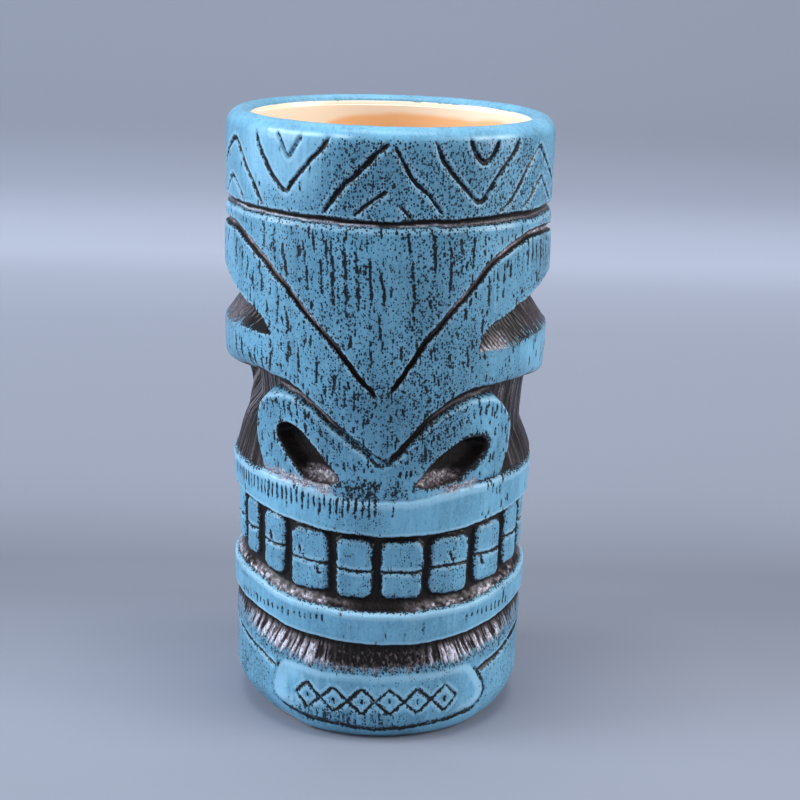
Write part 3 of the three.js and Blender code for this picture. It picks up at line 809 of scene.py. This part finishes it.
def carve_base():
    carve_line(spline(PANEL_LINE_LEFT, 3), 1.1, 0.45, dark=0.9, taper=0.03)
    carve_line(spline(PANEL_LINE_RIGHT, 3), 1.8, 0.55, dark=1.0, taper=0.03)
    area, gap = signed_distance(PLAQUE_OUTLINE, 4)
    rise = ease(0.25, -1.1, gap)
    lift = np.zeros(SHAPE)
    lift[area] = rise
    foot_rows = ease(1.0, 4.0, Z)
    relief[:] -= PLAQUE_RAISE * lift * foot_rows
    ring = near(1.1, 0.25, gap - 0.45) * ease(20.6, 17.5, Y[area])
    ring = ring * (0.75 + 0.25 * cut_noise(1.5, 1.5, 64, area))
    strength = lookup([(5.5, 0.95), (9.0, 0.35), (14.0, 0.35), (17.5, 0.75)], Y[area])
    strength = np.maximum(strength, 0.8 * SIDE[area])
    deepen(incised, 0.3 * ring * foot_rows[area], area)
    deepen(wash, ring * strength, area)
    grain = noise(X / 0.42 + 400, Y / 6.0 + 40, 63)
    low_grain = ease(15, 8, Y) * between(A, -42, -30, 2, 22) * ease(2.5, 4.5, Y)
    # painted highlights along the plaque's top edge, its right edge and its left corner
    upper_edge = near(1.6, 0.4, gap + 1.3) * ease(16, 19, Y[area])
    right_edge = near(1.8, 0.4, gap + 1.4) * ease(30, 38, A[area])
    left_corner = near(3.4, 0.8, gap + 2.2) * ease(-26, -34, A[area])
    shine = np.maximum(upper_edge, np.maximum(0.9 * right_edge, 0.6 * left_corner))
    deepen(thin_glaze_and_highlight, shine, area)
    relief[:] += foot_inset(A) * ease(10, 2, Z)
    # the plaque covers the chin strokes behind it
    for field in (wash, bare, pale):
        field[area] *= 1 - ease(0.0, -0.5, gap)
    deepen(wash, low_grain * unit(0.32 + 0.28 * grain))
    deepen(wash, 0.55 * ease(-2.2, 0.2, gap) * ease(10, 7, Y[area]) * ease(0.6, 0, gap), area)


def carve_plaque_pattern():
    """A row of carved lozenges, each with a dot, fills the plaque."""
    middle = 11.9
    half_height = 3.5
    half = 5.5
    for place in np.arange(-27.5, 28, 2 * half):
        top = (place, middle + half_height)
        foot = (place, middle - half_height)
        corners = [(place - half, middle), top, (place + half, middle), foot]
        for first, second in zip(corners, corners[1:] + corners[:1]):
            carve_line([first, second], 0.85, 0.32, taper=0.05)
        carve_line([(place - 0.4, middle), (place + 0.4, middle)], 1.5, 0.3, taper=0.01)


def grain_mark(points, width, strength):
    """One upright knife mark: shallow, its wash breaking up into dots."""
    area = window(points, width + 1.0)
    gap, share, _ = distance_to_path(points, area)
    ends = unit(np.minimum(share, 1 - share) / 0.22) ** 0.6
    broken = 0.8 + 0.35 * cut_noise(0.7, 1.1, 73, area)
    away = gap / ((0.15 + 0.34 * width) * (0.5 + 0.5 * ends))
    deepen(incised, 0.12 * strength * unit(1 - away ** 2) * ends, area)
    deepen(wash, np.minimum(strength * broken, 1) * (0.5 + 0.5 * ends) * ease(1.9, 0.3, away), area)


def carve_grain():
    """Upright knife marks: the long ones, short ragged columns between them, and rows below some edges."""
    for width, *points in GRAIN_MARKS:
        grain_mark(spline(points, 2), width, 0.82)
    pick = np.random.default_rng(71).uniform
    carve_short_columns(pick)
    carve_upper_lip_marks(pick)
    carve_wing_marks(pick)
    carve_brow_marks(pick)
    carve_lower_lip_marks(pick)


def carve_short_columns(pick):
    turn = -178
    while turn < 178:
        height = 156 - pick(0, 8)
        busy = pick(0.5, 1)
        while height > 24:
            length = pick(1.2, 5) * busy
            chance = grain_chance(turn, height - length / 2)
            if pick() < chance:
                lean = pick(-0.35, 0.35)
                middle = (turn + lean * 0.6, height - length * 0.5)
                points = [(turn, height), middle, (turn + lean, height - length)]
                grain_mark(points, pick(0.45, 0.75), pick(0.5, 0.8))
            height -= length + pick(0.6, 4) / busy
        turn += pick(1.3, 2.2)


def carve_upper_lip_marks(pick):
    turn = -74
    while turn < -1:
        top = 68.6 - pick(0, 1.2)
        foot = 62 + lookup([(-70, 2.2), (-40, 0.6), (0, 0)], turn) + pick(-0.8, 1.2)
        grain_mark([(turn, top), (turn - 0.2, foot)], pick(0.4, 0.75), 0.85)
        turn += pick(2, 2.7)


def carve_wing_marks(pick):
    for side in (-1, 1):
        turn = 15
        while turn < 52:
            top = lookup(WING_MARK_TOP, turn) - pick(0, 0.8)
            foot = top - pick(1.6, 4)
            grain_mark([(side * turn, top), (side * turn + 0.2, foot)], pick(0.45, 0.7), 0.75)
            turn += pick(2.2, 3.4)


def carve_brow_marks(pick):
    turn = 36
    while turn < 84:
        top = lookup(BROW_RIGHT, turn) - 1.6 - pick(0, 1.2)
        foot = top - pick(4, 8.5)
        grain_mark([(turn, top), (turn + 0.2, foot)], pick(0.5, 0.75), 0.78)
        turn += pick(2.4, 4.2)


def carve_lower_lip_marks(pick):
    for start, end in ((-66, -20), (38, 60)):
        turn = start
        while turn < end:
            top = 35.6 - pick(0, 1.2)
            foot = 32.8 + pick(0, 0.8)
            grain_mark([(turn, top), (turn, foot)], 0.5, 0.75)
            turn += pick(2.2, 3)


def grain_chance(turn, height):
    """How likely a short grain mark is at a place: none in the hollows, most on the forehead."""
    column = int((turn + 180) / 360 * COLUMNS) % COLUMNS
    row = int(np.argmin(np.abs(Z[:, 0] - height)))
    if bare[row, column] > 0.2 or relief[row, column] > 1.2:
        return 0.0
    away = abs(turn)
    if height > 138.5:
        return 0.12 if away > 20 else 0.25
    if away > 112:
        return 0.45
    if height > 96:
        return 0.45 if away < 24 else 0.62
    if height > 71.5:
        return 0.95
    if height > 57:
        return 0.5 if 44 < turn < 58 else 0.04
    if height > 37:
        return 0.0
    return 0.1


def dot_density():
    """How thickly the dark dots lie, from 0 to 1."""
    density = np.full(SHAPE, 0.6)
    centre = ease(38, 14, TURN)
    density += 0.3 * centre * ease(68, 80, Z)
    wing_right = between(A, 28, 40, 52, 62) * between(Z, 71, 73, 91, 94)
    density *= 1 - 0.45 * wing_right
    density += 0.12 * between(A, 4, 20, 70, 90) * ease(68, 80, Z)
    density += 0.4 * between(A, -16, 0, 48, 66) * between(Z, 136, 140, 156, 158)
    clean_band = between(A, -58, -50, -30, -22) * ease(141, 147, Z)
    density *= 1 - 0.95 * clean_band
    density *= ease(158.6, 156.0, Z)
    lips = between(Z, 56, 58, 69.5, 70.5) + between(Z, 27, 28, 37, 38)
    lips = lips * ease(122, 98, TURN)
    lip_dots = 0.2 + 0.55 * between(A, -26, -16, -2, 6) * (Z > 50)
    density = density * (1 - unit(lips)) + lip_dots * unit(lips)
    cheek_right = ease(52, 60, A) * between(Z, 94, 97, 104, 108)
    density *= 1 - 0.7 * cheek_right
    plaque = ease(21, 19, Z) * ease(50, 44, TURN)
    density *= 1 - plaque * (0.3 + 0.5 * ease(-20, -34, A))
    density += 0.2 * ease(24, 21, Z) * (1 - plaque) * ease(110, 80, TURN)
    density += 0.2 * around(26, 12, 81)
    return unit(density)


def blur(field, rows, columns):
    """Box blur that wraps round the mug."""
    padded = np.pad(field, ((rows, rows), (0, 0)), mode="edge")
    total = np.cumsum(np.concatenate([np.zeros((1, padded.shape[1])), padded]), axis=0)
    field = (total[2 * rows + 1:] - total[:-2 * rows - 1]) / (2 * rows + 1)
    padded = np.concatenate([field[:, -columns:], field, field[:, :columns]], axis=1)
    total = np.cumsum(np.concatenate([np.zeros((padded.shape[0], 1)), padded], axis=1), axis=1)
    return (total[:, 2 * columns + 1:] - total[:, :-2 * columns - 1]) / (2 * columns + 1)


carve_eyes()
carve_neck_and_nose()
carve_nostrils()
carve_lip_edges()
carve_mouth()
carve_chin()
carve_under_nose()
carve_teeth()
carve_base()
carve_plaque_pattern()
carve_headband()
carve_band_groove()
carve_brow()
carve_grain()

def glaze_light(hollowness):
    """How light the blue is: over convex edges, where the glaze runs thin, and where painted highlights lie
    along edges; a painted reflection on the smooth left of the band; a painted highlight along the rim.
    """
    light = np.maximum(ease(0.05, 0.4, -hollowness), thin_glaze_and_highlight)
    band_reflection = between(A, -64, -50, -32, -18) * between(Z, 139, 148, 156.5, 159.5)
    light = np.maximum(light, 0.5 * band_reflection * (0.75 + 0.5 * around(40, 9, 93)))
    rim_places = between(A, -56, -46, -18, -8) + 0.8 * between(A, 12, 20, 40, 52)
    rim_highlight = near(0.55, 0.2, Z - RIM_HIGHLIGHT_HEIGHT) * rim_places * ease(-0.6, 0.2, around(70, 60, 94))
    return np.maximum(light, 1.8 * rim_highlight)


# How far each point lies in from the smooth wall: the carving, softened, and the unevenness of cast clay
depth_in = relief + incised
depth_in = 0.5 * depth_in + 0.5 * blur(depth_in, 1, 1)
depth_in += 0.05 * around(90, 6, 91) + 0.03 * around(300, 20, 92)
hollowness = depth_in - blur(depth_in, 4, 5)
edge_light = glaze_light(hollowness)
deepen(wash, 0.6 * ease(0.15, 0.45, hollowness) * (1 - bare))
deepen(wash, 0.36 * dot_density() * (1 - bare))


# ---------------------------------------------------------------- meshes
def wall_points(profile, depth):
    """Points of the outer surface, pushed in along the profile's own normal."""
    along = np.gradient(profile, axis=0)
    along /= np.linalg.norm(along, axis=1, keepdims=True)
    normal_r = -along[:, 1][:, None]
    normal_z = along[:, 0][:, None]
    radius = profile[:, 0][:, None] - depth * normal_r
    height = profile[:, 1][:, None] - depth * normal_z
    radius = np.minimum(radius, LARGEST_RADIUS)
    return radius, np.minimum(height, HEIGHT)


def ring_points(radius, height, angles):
    """Points in metres for rows of radii and heights at the given angles."""
    turn = np.radians(angles)[None, :]
    height = np.broadcast_to(height, radius.shape)
    return np.stack([radius * np.sin(turn), -radius * np.cos(turn), height], axis=2) * MM


class Shell:
    """Rings of points joined into one closed mesh; a ring may be several times as fine as the next."""

    def __init__(self):
        self.points = []
        self.quads = []
        self.triangles = []
        self.count = 0
        self.last = None

    def add_ring(self, ring):
        """Joins one more ring; a ring of one point closes the mesh at the axis."""
        indices = np.arange(self.count, self.count + len(ring))
        self.points.append(ring)
        self.count += len(ring)
        if self.last is not None:
            self.join(self.last, indices)
        self.last = indices

    def join(self, upper, lower):
        if len(upper) == len(lower):
            quad = np.stack([upper, lower, np.roll(lower, -1), np.roll(upper, -1)], axis=1)
            self.quads.append(quad)
        elif len(lower) == 1:
            self.add_triangles(upper, np.full(len(upper), lower[0]), np.roll(upper, -1))
        elif len(upper) == 1:
            self.add_triangles(np.full(len(lower), upper[0]), lower, np.roll(lower, -1))
        elif len(upper) > len(lower):
            self.join_fine_to_coarse(upper, lower, flip=False)
        else:
            self.join_fine_to_coarse(lower, upper, flip=True)

    def join_fine_to_coarse(self, fine, coarse, flip):
        ratio = len(fine) // len(coarse)
        following = np.roll(coarse, -1)
        for step in range(ratio):
            start = fine[step::ratio]
            end = np.roll(fine, -1)[step::ratio]
            own = coarse if step < ratio / 2 else following
            self.add_triangles(start, own, end, flip)
            if step == ratio // 2 - 1:
                self.add_triangles(end, coarse, following, flip)

    def add_triangles(self, first, second, third, flip=False):
        order = (first, third, second) if flip else (first, second, third)
        self.triangles.append(np.stack(order, axis=1))

    def close_ring(self, first_ring):
        """Joins the last ring to the first."""
        self.join(self.last, first_ring)

    def build(self, name, attributes=None):
        """The finished piece; an attribute is given for the first points and is 0 on the rest."""
        points = np.concatenate(self.points)
        faces = np.concatenate(self.quads).tolist() + np.concatenate(self.triangles).tolist()
        mesh = bpy.data.meshes.new(name)
        mesh.from_pydata(points, [], faces)
        mesh.validate()
        mesh.polygons.foreach_set("use_smooth", np.ones(len(faces), bool))
        for label, values in (attributes or {}).items():
            full = np.zeros(len(points), np.float32)
            full[:values.size] = values.ravel()
            mesh.attributes.new(label, "FLOAT", "POINT").data.foreach_set("value", full)
        obj = bpy.data.objects.new(name, mesh)
        bpy.context.scene.collection.objects.link(obj)
        return obj


def coarse_minimum(radius):
    """Smallest radius of the fine grid near each coarse point, so that a coarse skin stays under it."""
    wide = FINE_PER_COARSE + 1
    smallest = radius.copy()
    for shift in range(-wide, wide + 1):
        smallest = np.minimum(smallest, np.roll(radius, shift, axis=1))
    rows = []
    for start in range(0, radius.shape[0], ROWS_PER_COARSE):
        low = max(start - ROWS_PER_COARSE - 1, 0)
        rows.append(smallest[low:start + ROWS_PER_COARSE + 2].min(axis=0))
    return np.array(rows)[:, ::FINE_PER_COARSE]


def clay_outside(radius, height):
    """Coarse rings of the clay just under the glaze, from below the rim down to the foot."""
    heights = height[::ROWS_PER_COARSE].mean(axis=1)
    keep = (heights < CLAY_TOP) & (heights > CLAY_FOOT)
    return coarse_minimum(radius)[keep] - GLAZE_THICKNESS, heights[keep][:, None]


def outer_glaze_piece():
    radius, height = wall_points(PROFILE, depth_in)
    shell = Shell()
    for row in ring_points(radius, height, ANGLES):
        shell.add_ring(row)
    inner_radius, inner_height = clay_outside(radius, height)
    for ring in ring_points(inner_radius[::-1], inner_height[::-1], COARSE_ANGLES):
        shell.add_ring(ring)
    under_lip = np.full((1, len(COARSE_ANGLES)), MOUTH_RADIUS + 1)
    shell.add_ring(ring_points(under_lip, 158, COARSE_ANGLES)[0])
    shell.close_ring(np.arange(COLUMNS))
    attributes = {"wash": wash, "bare": bare, "pale": pale, "edge_light": edge_light}
    return shell.build("glaze_carved", attributes)


def inside_of_cup(angles):
    """Radius and height of the inside, from the lip to the floor, pulled in at the sides of the waist."""
    lip = [(MOUTH_RADIUS, 158.3), (35.95, 157.2), (35.9, 155), (36.2, 135)]
    front = [(36.2, 114), (36, 101), (35.2, 91), (34.4, 78), (34.4, 67)]
    waist = [(33.4, 114), (32.6, 101), (29.8, 91), (29.6, 78), (33.5, 67)]
    low = [(34.3, 40), (34.2, 16), (33.4, 12.6), (31.6, 10.2)]
    floor = [(28.6, FLOOR_HEIGHT + 0.4), (24, FLOOR_HEIGHT)]
    at_front = spline(lip + front + low + floor, 6)
    at_waist = spline(lip + waist + low + floor, 6)
    share = ease(0, 1, lookup(WAIST_SHARE, np.abs(angles)))[None, :]
    return at_front[:, :1] * (1 - share) + at_waist[:, :1] * share, at_front[:, 1:]


def lowered(height, thickness):
    """Heights of a skin's other side, which is thickness lower where it is the floor of the cup."""
    return np.where(height > FLOOR_BEND, height, height - thickness)


def point_on_axis(height):
    return np.array([[0, 0, height * MM]])


def liner_piece():
    angles = np.arange(0, 360, 1.5) - 180
    radius, height = inside_of_cup(angles)
    shell = Shell()
    shell.add_ring(point_on_axis(FLOOR_HEIGHT))
    for ring in ring_points(radius[::-1], height[::-1], angles):
        shell.add_ring(ring)
    outer_height = lowered(height, LINER_THICKNESS)
    outer_height[0] -= 0.2
    for ring in ring_points(radius + LINER_THICKNESS, outer_height, angles):
        shell.add_ring(ring)
    shell.add_ring(point_on_axis(FLOOR_HEIGHT - LINER_THICKNESS))
    return shell.build("liner_glazed")


def clay_piece():
    inside_gap = LINER_THICKNESS + 0.05
    radius, height = inside_of_cup(COARSE_ANGLES)
    height = lowered(height, inside_gap)
    shell = Shell()
    shell.add_ring(point_on_axis(FLOOR_HEIGHT - inside_gap))
    below_lip = slice(3, None)
    for ring in ring_points(radius[below_lip][::-1] + inside_gap, height[below_lip][::-1], COARSE_ANGLES):
        shell.add_ring(ring)
    outer_radius, outer_height = clay_outside(*wall_points(PROFILE, depth_in))
    for ring in ring_points(outer_radius - CLAY_GAP, outer_height, COARSE_ANGLES):
        shell.add_ring(ring)
    outer = FOOT_RADIUS
    inner = FOOT_RING_INNER_RADIUS
    foot = [
        (outer + 0.1, 1.6), (outer + 0.1, 0.9), (outer, 0.4), (outer - 0.4, 0.1), (outer - 1, 0),
        (inner + 0.6, 0), (inner, 0.3), (inner - 0.5, 1.3), (inner - 1.6, FOOT_RECESS - 0.1),
        (inner - 3, FOOT_RECESS), (inner / 2, FOOT_RECESS + 0.3),
    ]
    for foot_radius, foot_height in foot:
        wander = 0.06 * noise(COARSE_ANGLES[None, :] / 9 + 50, foot_height + 7, 95)
        inset = foot_inset(COARSE_ANGLES[None, :]) * (foot_radius > outer - 1.5)
        shell.add_ring(ring_points(foot_radius - 0.2 - inset + wander, foot_height, COARSE_ANGLES)[0])
    shell.add_ring(point_on_axis(FOOT_RECESS + 0.3))
    return shell.build("clay_cast")


# ---------------------------------------------------------------- materials
class Nodes:
    """Short ways to add nodes to a material."""

    def __init__(self, name):
        self.material = bpy.data.materials.new(name)
        self.material.use_nodes = True
        self.tree = self.material.node_tree
        self.shader = self.tree.nodes["Principled BSDF"]

    def add(self, kind, inputs=None, **settings):
        """A node with its settings, each named input linked to a socket or set to a value."""
        node = self.tree.nodes.new(kind)
        for key, value in settings.items():
            setattr(node, key, value)
        for key, value in (inputs or {}).items():
            self.set(node.inputs[key], value)
        return node

    def set(self, target, value):
        if hasattr(value, "links"):
            self.tree.links.new(value, target)
        else:
            target.default_value = value

    def attribute(self, name):
        return self.add("ShaderNodeAttribute", attribute_name=name).outputs["Fac"]

    def math(self, operation, first, second, clamp=False):
        inputs = {0: first, 1: second}
        return self.add("ShaderNodeMath", inputs, operation=operation, use_clamp=clamp).outputs[0]

    def times(self, first, second, clamp=False):
        return self.math("MULTIPLY", first, second, clamp)

    def plus(self, first, second):
        return self.math("ADD", first, second)

    def ramp(self, value, low, high, start=0.0, end=1.0):
        inputs = {"Value": value, "From Min": low, "From Max": high, "To Min": start, "To Max": end}
        return self.add("ShaderNodeMapRange", inputs, interpolation_type="SMOOTHSTEP").outputs[0]

    def mix(self, share, first, second):
        node = self.add("ShaderNodeMix", {"Factor": share}, data_type="RGBA")
        colour_inputs = [socket for socket in node.inputs if socket.type == "RGBA"]
        self.set(colour_inputs[0], first)
        self.set(colour_inputs[1], second)
        return [socket for socket in node.outputs if socket.type == "RGBA"][0]

    def place(self, stretch):
        """Object coordinates in millimetres, stretched by three factors."""
        coordinates = self.add("ShaderNodeTexCoord").outputs["Object"]
        scale = [factor / MM for factor in stretch]
        return self.add("ShaderNodeMapping", {"Vector": coordinates, "Scale": scale}).outputs[0]

    def noise(self, stretch, detail=3.0, rough=0.55):
        inputs = {"Vector": self.place(stretch), "Scale": 1.0, "Detail": detail, "Roughness": rough}
        return self.add("ShaderNodeTexNoise", inputs).outputs["Fac"]

    def cells(self, stretch):
        inputs = {"Vector": self.place(stretch), "Scale": 1.0, "Randomness": 0.85}
        return self.add("ShaderNodeTexVoronoi", inputs)

    def colour(self, colour):
        self.set(self.shader.inputs["Base Color"], colour)

    def bump(self, height, strength, distance_mm):
        inputs = {"Height": height, "Strength": strength, "Distance": distance_mm * MM}
        self.set(self.shader.inputs["Normal"], self.add("ShaderNodeBump", inputs).outputs[0])

    def shine(self, roughness, coat=0.0, coat_roughness=0.05, specular=0.5):
        self.set(self.shader.inputs["Roughness"], roughness)
        self.shader.inputs["Coat Weight"].default_value = coat
        self.shader.inputs["Coat Roughness"].default_value = coat_roughness
        self.shader.inputs["Specular IOR Level"].default_value = specular


def rgb(red, green, blue):
    """Linear colour from screen values 0 to 255."""
    def linear(value):
        share = value / 255
        return share / 12.92 if share <= 0.04045 else ((share + 0.055) / 1.055) ** 2.4
    return (linear(red), linear(green), linear(blue), 1.0)


def blue_glaze_material():
    n = Nodes("blue_glaze")
    mottle = n.noise((0.09, 0.09, 0.05), detail=4)
    streaks = n.noise((0.75, 0.75, 0.07), detail=3, rough=0.6)
    fine = n.noise((1.8, 1.8, 1.3), detail=3)
    blue = n.mix(n.ramp(mottle, 0.35, 0.65), rgb(99, 153, 183), rgb(115, 176, 209))
    blue = n.mix(n.times(n.ramp(streaks, 0.5, 0.72), 0.35), blue, rgb(138, 192, 218))
    blue = n.mix(n.times(n.ramp(streaks, 0.46, 0.28), 0.3), blue, rgb(74, 112, 134))
    blue = n.mix(n.times(n.ramp(fine, 0.52, 0.72), 0.4), blue, rgb(142, 190, 214))
    blue = n.mix(n.times(n.ramp(fine, 0.46, 0.3), 0.35), blue, rgb(72, 112, 138))
    # lighter blue where the glaze runs thin over edges, and painted highlights and reflections
    blue = n.mix(n.times(n.attribute("edge_light"), 0.55), blue, rgb(174, 218, 243))
    # pale floor colour: a pale crust in places, and painted light on floors and ridges that face up
    scratches = n.noise((2.4, 2.4, 0.45), detail=2)
    pale_crust_and_painted_light = n.mix(n.ramp(scratches, 0.36, 0.6), rgb(158, 150, 164), rgb(226, 226, 238))
    brown = n.mix(n.ramp(fine, 0.3, 0.7), rgb(46, 34, 34), rgb(86, 70, 72))
    floor = n.mix(n.attribute("pale"), brown, pale_crust_and_painted_light)
    grime = n.times(n.attribute("wash"), 0.8, clamp=True)
    blue = n.mix(grime, blue, rgb(50, 78, 96))
    ground = n.mix(n.attribute("bare"), blue, floor)
    mask = wash_mask(n)
    colour = n.mix(n.times(mask, 0.96), ground, wash_colour(n, fine))
    n.colour(colour)
    dulled = n.plus(n.ramp(fine, 0.3, 0.7, 0.26, 0.38), n.times(n.attribute("wash"), 0.25))
    n.shine(dulled, coat=0.18, coat_roughness=0.06, specular=0.12)
    height = n.plus(n.times(mask, -0.3), n.times(fine, 0.3))
    n.bump(height, 0.3, 0.06)
    return n.material


def wash_colour(n, fine):
    """Black-brown wash: bluish where it lies in single dots, lighter and pinkish over a lit floor."""
    ink = n.mix(n.ramp(fine, 0.35, 0.7), rgb(12, 10, 10), rgb(32, 25, 23))
    ink = n.mix(n.ramp(n.attribute("wash"), 0.3, 0.65), rgb(24, 40, 54), ink)
    thin = n.mix(n.ramp(fine, 0.3, 0.7), rgb(92, 78, 80), rgb(160, 148, 156))
    return n.mix(n.attribute("pale"), ink, thin)


def wash_mask(n):
    """Where the wash shows: its cover broken into fine dots that chain upright."""
    cells = n.cells((1.75, 1.75, 1.5))
    chance = n.add("ShaderNodeSeparateColor", {0: cells.outputs["Color"]}).outputs[0]
    grain = n.times(n.math("SUBTRACT", n.noise((2.4, 2.4, 0.7), detail=3), 0.5), 1.2)
    hold = n.plus(n.times(chance, 0.5), n.times(cells.outputs["Distance"], 1.15))
    cover = n.times(n.attribute("wash"), 2.0)
    rest = n.math("SUBTRACT", n.math("SUBTRACT", cover, hold), grain)
    return n.ramp(rest, -0.12, 0.18)


def liner_material():
    n = Nodes("cream_liner")
    split = n.add("ShaderNodeSeparateXYZ", {0: n.place((1, 1, 1))})
    cloud = n.noise((0.06, 0.06, 0.03), detail=2)
    # painted light and shade: pale cream near the lip, reaching lower on the left, and darker orange
    # further down the inside
    sag = n.ramp(split.outputs["X"], -34, -8, 7.0, 0.0)
    height = n.plus(split.outputs["Z"], n.times(cloud, 3.0))
    deep = n.mix(n.ramp(height, 20, 120), rgb(232, 166, 104), rgb(250, 200, 146))
    colour = n.mix(n.ramp(n.plus(height, sag), 155.2, 157.0), deep, rgb(252, 240, 218))
    n.colour(colour)
    n.shine(0.2, coat=0.5)
    n.bump(n.noise((0.12, 0.12, 0.12), detail=2), 0.25, 0.15)
    return n.material


def clay_material():
    n = Nodes("fired_clay")
    fine = n.noise((1.2, 1.2, 1.2), detail=5)
    colour = n.mix(n.ramp(fine, 0.35, 0.65), rgb(196, 176, 150), rgb(222, 206, 182))
    speck = n.cells((0.35, 0.35, 0.35))
    colour = n.mix(n.ramp(speck.outputs["Distance"], 0.16, 0.1), colour, rgb(140, 116, 92))
    n.colour(colour)
    n.shine(0.85, specular=0.3)
    n.bump(fine, 0.5, 0.12)
    return n.material


# ---------------------------------------------------------------- pieces
def dress(piece, material, node):
    piece.data.materials.append(material)
    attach(piece, "root")
    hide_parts(node)


dress(outer_glaze_piece(), blue_glaze_material(), "outer_glaze")
dress(liner_piece(), liner_material(), "liner_glaze")
dress(clay_piece(), clay_material(), "clay_body")


# ---------------------------------------------------------------- floor, light and camera
def floor_and_backdrop():
    """One sheet: flat under the mug, then curving up behind it; painted light and shade make it darker and
    lighter with depth.
    """
    rows = []
    for y in np.linspace(SHEET_FRONT, SHEET_BEND, 240):
        rows.append((y, 0.0))
    for turn in np.linspace(0, 90, 30)[1:]:
        lean = math.radians(turn)
        rise = SHEET_BEND_RADIUS - SHEET_BEND_RADIUS * math.cos(lean)
        rows.append((SHEET_BEND + SHEET_BEND_RADIUS * math.sin(lean), rise))
    rows.append((SHEET_BEND + SHEET_BEND_RADIUS, SHEET_TOP))
    points = []
    shades = []
    for y, z in rows:
        points.append((-SHEET_HALF_WIDTH, y, z))
        points.append((SHEET_HALF_WIDTH, y, z))
        shade = float(lookup(SHEET_SHADES, y + z))
        shades.extend([shade, shade])
    faces = [(2 * i, 2 * i + 1, 2 * i + 3, 2 * i + 2) for i in range(len(rows) - 1)]
    mesh = bpy.data.meshes.new("backdrop")
    mesh.from_pydata(points, [], faces)
    mesh.polygons.foreach_set("use_smooth", np.ones(len(faces), bool))
    mesh.attributes.new("shade", "FLOAT", "POINT").data.foreach_set("value", shades)
    sheet = bpy.data.objects.new("backdrop", mesh)
    bpy.context.scene.collection.objects.link(sheet)
    n = Nodes("pale_paper")
    colour = n.mix(n.attribute("shade"), (0, 0, 0, 1), rgb(*SHEET_COLOUR))
    n.colour(colour)
    n.shine(0.7, specular=0.2)
    mesh.materials.append(n.material)


def area_light(name, place, target, size, power, colour=(1, 1, 1)):
    light = bpy.data.lights.new(name, "AREA")
    light.shape = "RECTANGLE"
    light.size, light.size_y = size
    light.energy = power
    light.color = colour
    lamp = bpy.data.objects.new(name, light)
    bpy.context.scene.collection.objects.link(lamp)
    lamp.location = place
    lamp.rotation_euler = (Vector(target) - Vector(place)).to_track_quat("-Z", "Y").to_euler()


def lights():
    middle = (0, 0, 0.08)
    area_light("left_side", (-1.7, -0.26, 0.75), middle, (0.85, 1.3), 36, (0.88, 0.97, 1.06))
    area_light("right_side", (1.7, -0.26, 0.68), middle, (0.85, 1.3), 26)
    area_light("left_front", (-0.6, -0.55, 0.9), middle, (0.6, 0.25), 2.4)
    area_light("right_front", (0.65, -0.5, 0.85), middle, (0.5, 0.25), 1.6)
    area_light("overhead", (0, -0.1, 1.2), middle, (0.7, 0.5), 7.5)
    area_light("back_wall", (0, 0.9, 1.3), (0, 0.4, 0.2), (1.6, 0.8), 3)
    world = bpy.data.worlds.new("studio")
    world.use_nodes = True
    background = world.node_tree.nodes["Background"]
    background.inputs["Color"].default_value = (0.68, 0.71, 0.77, 1)
    background.inputs["Strength"].default_value = 0.3
    bpy.context.scene.world = world


def camera():
    """The viewpoint: a little above the rim, half a metre away, rolled a touch."""
    data = bpy.data.cameras.new("camera")
    data.sensor_width = 36
    data.lens = 36 * CAMERA_FOCAL_IN_FRAMES
    data.clip_start = 0.01
    viewer = bpy.data.objects.new("camera", data)
    bpy.context.scene.collection.objects.link(viewer)
    place = Vector((0, -CAMERA_DISTANCE, CAMERA_HEIGHT)) * MM
    aim = Vector((CAMERA_AIM_ASIDE, 0, CAMERA_AIM_HEIGHT)) * MM
    forward = (aim - place).normalized()
    right = forward.cross(Vector((0, 0, 1))).normalized()
    up = right.cross(forward)
    roll = math.radians(CAMERA_ROLL)
    rolled_right = math.cos(roll) * right + math.sin(roll) * up
    rolled_up = math.cos(roll) * up - math.sin(roll) * right
    turned = Matrix((rolled_right, rolled_up, -forward)).transposed().to_4x4()
    viewer.matrix_world = Matrix.Translation(place) @ turned
    bpy.context.scene.camera = viewer


floor_and_backdrop()
lights()
camera()
bpy.context.scene.view_settings.view_transform = "Standard"
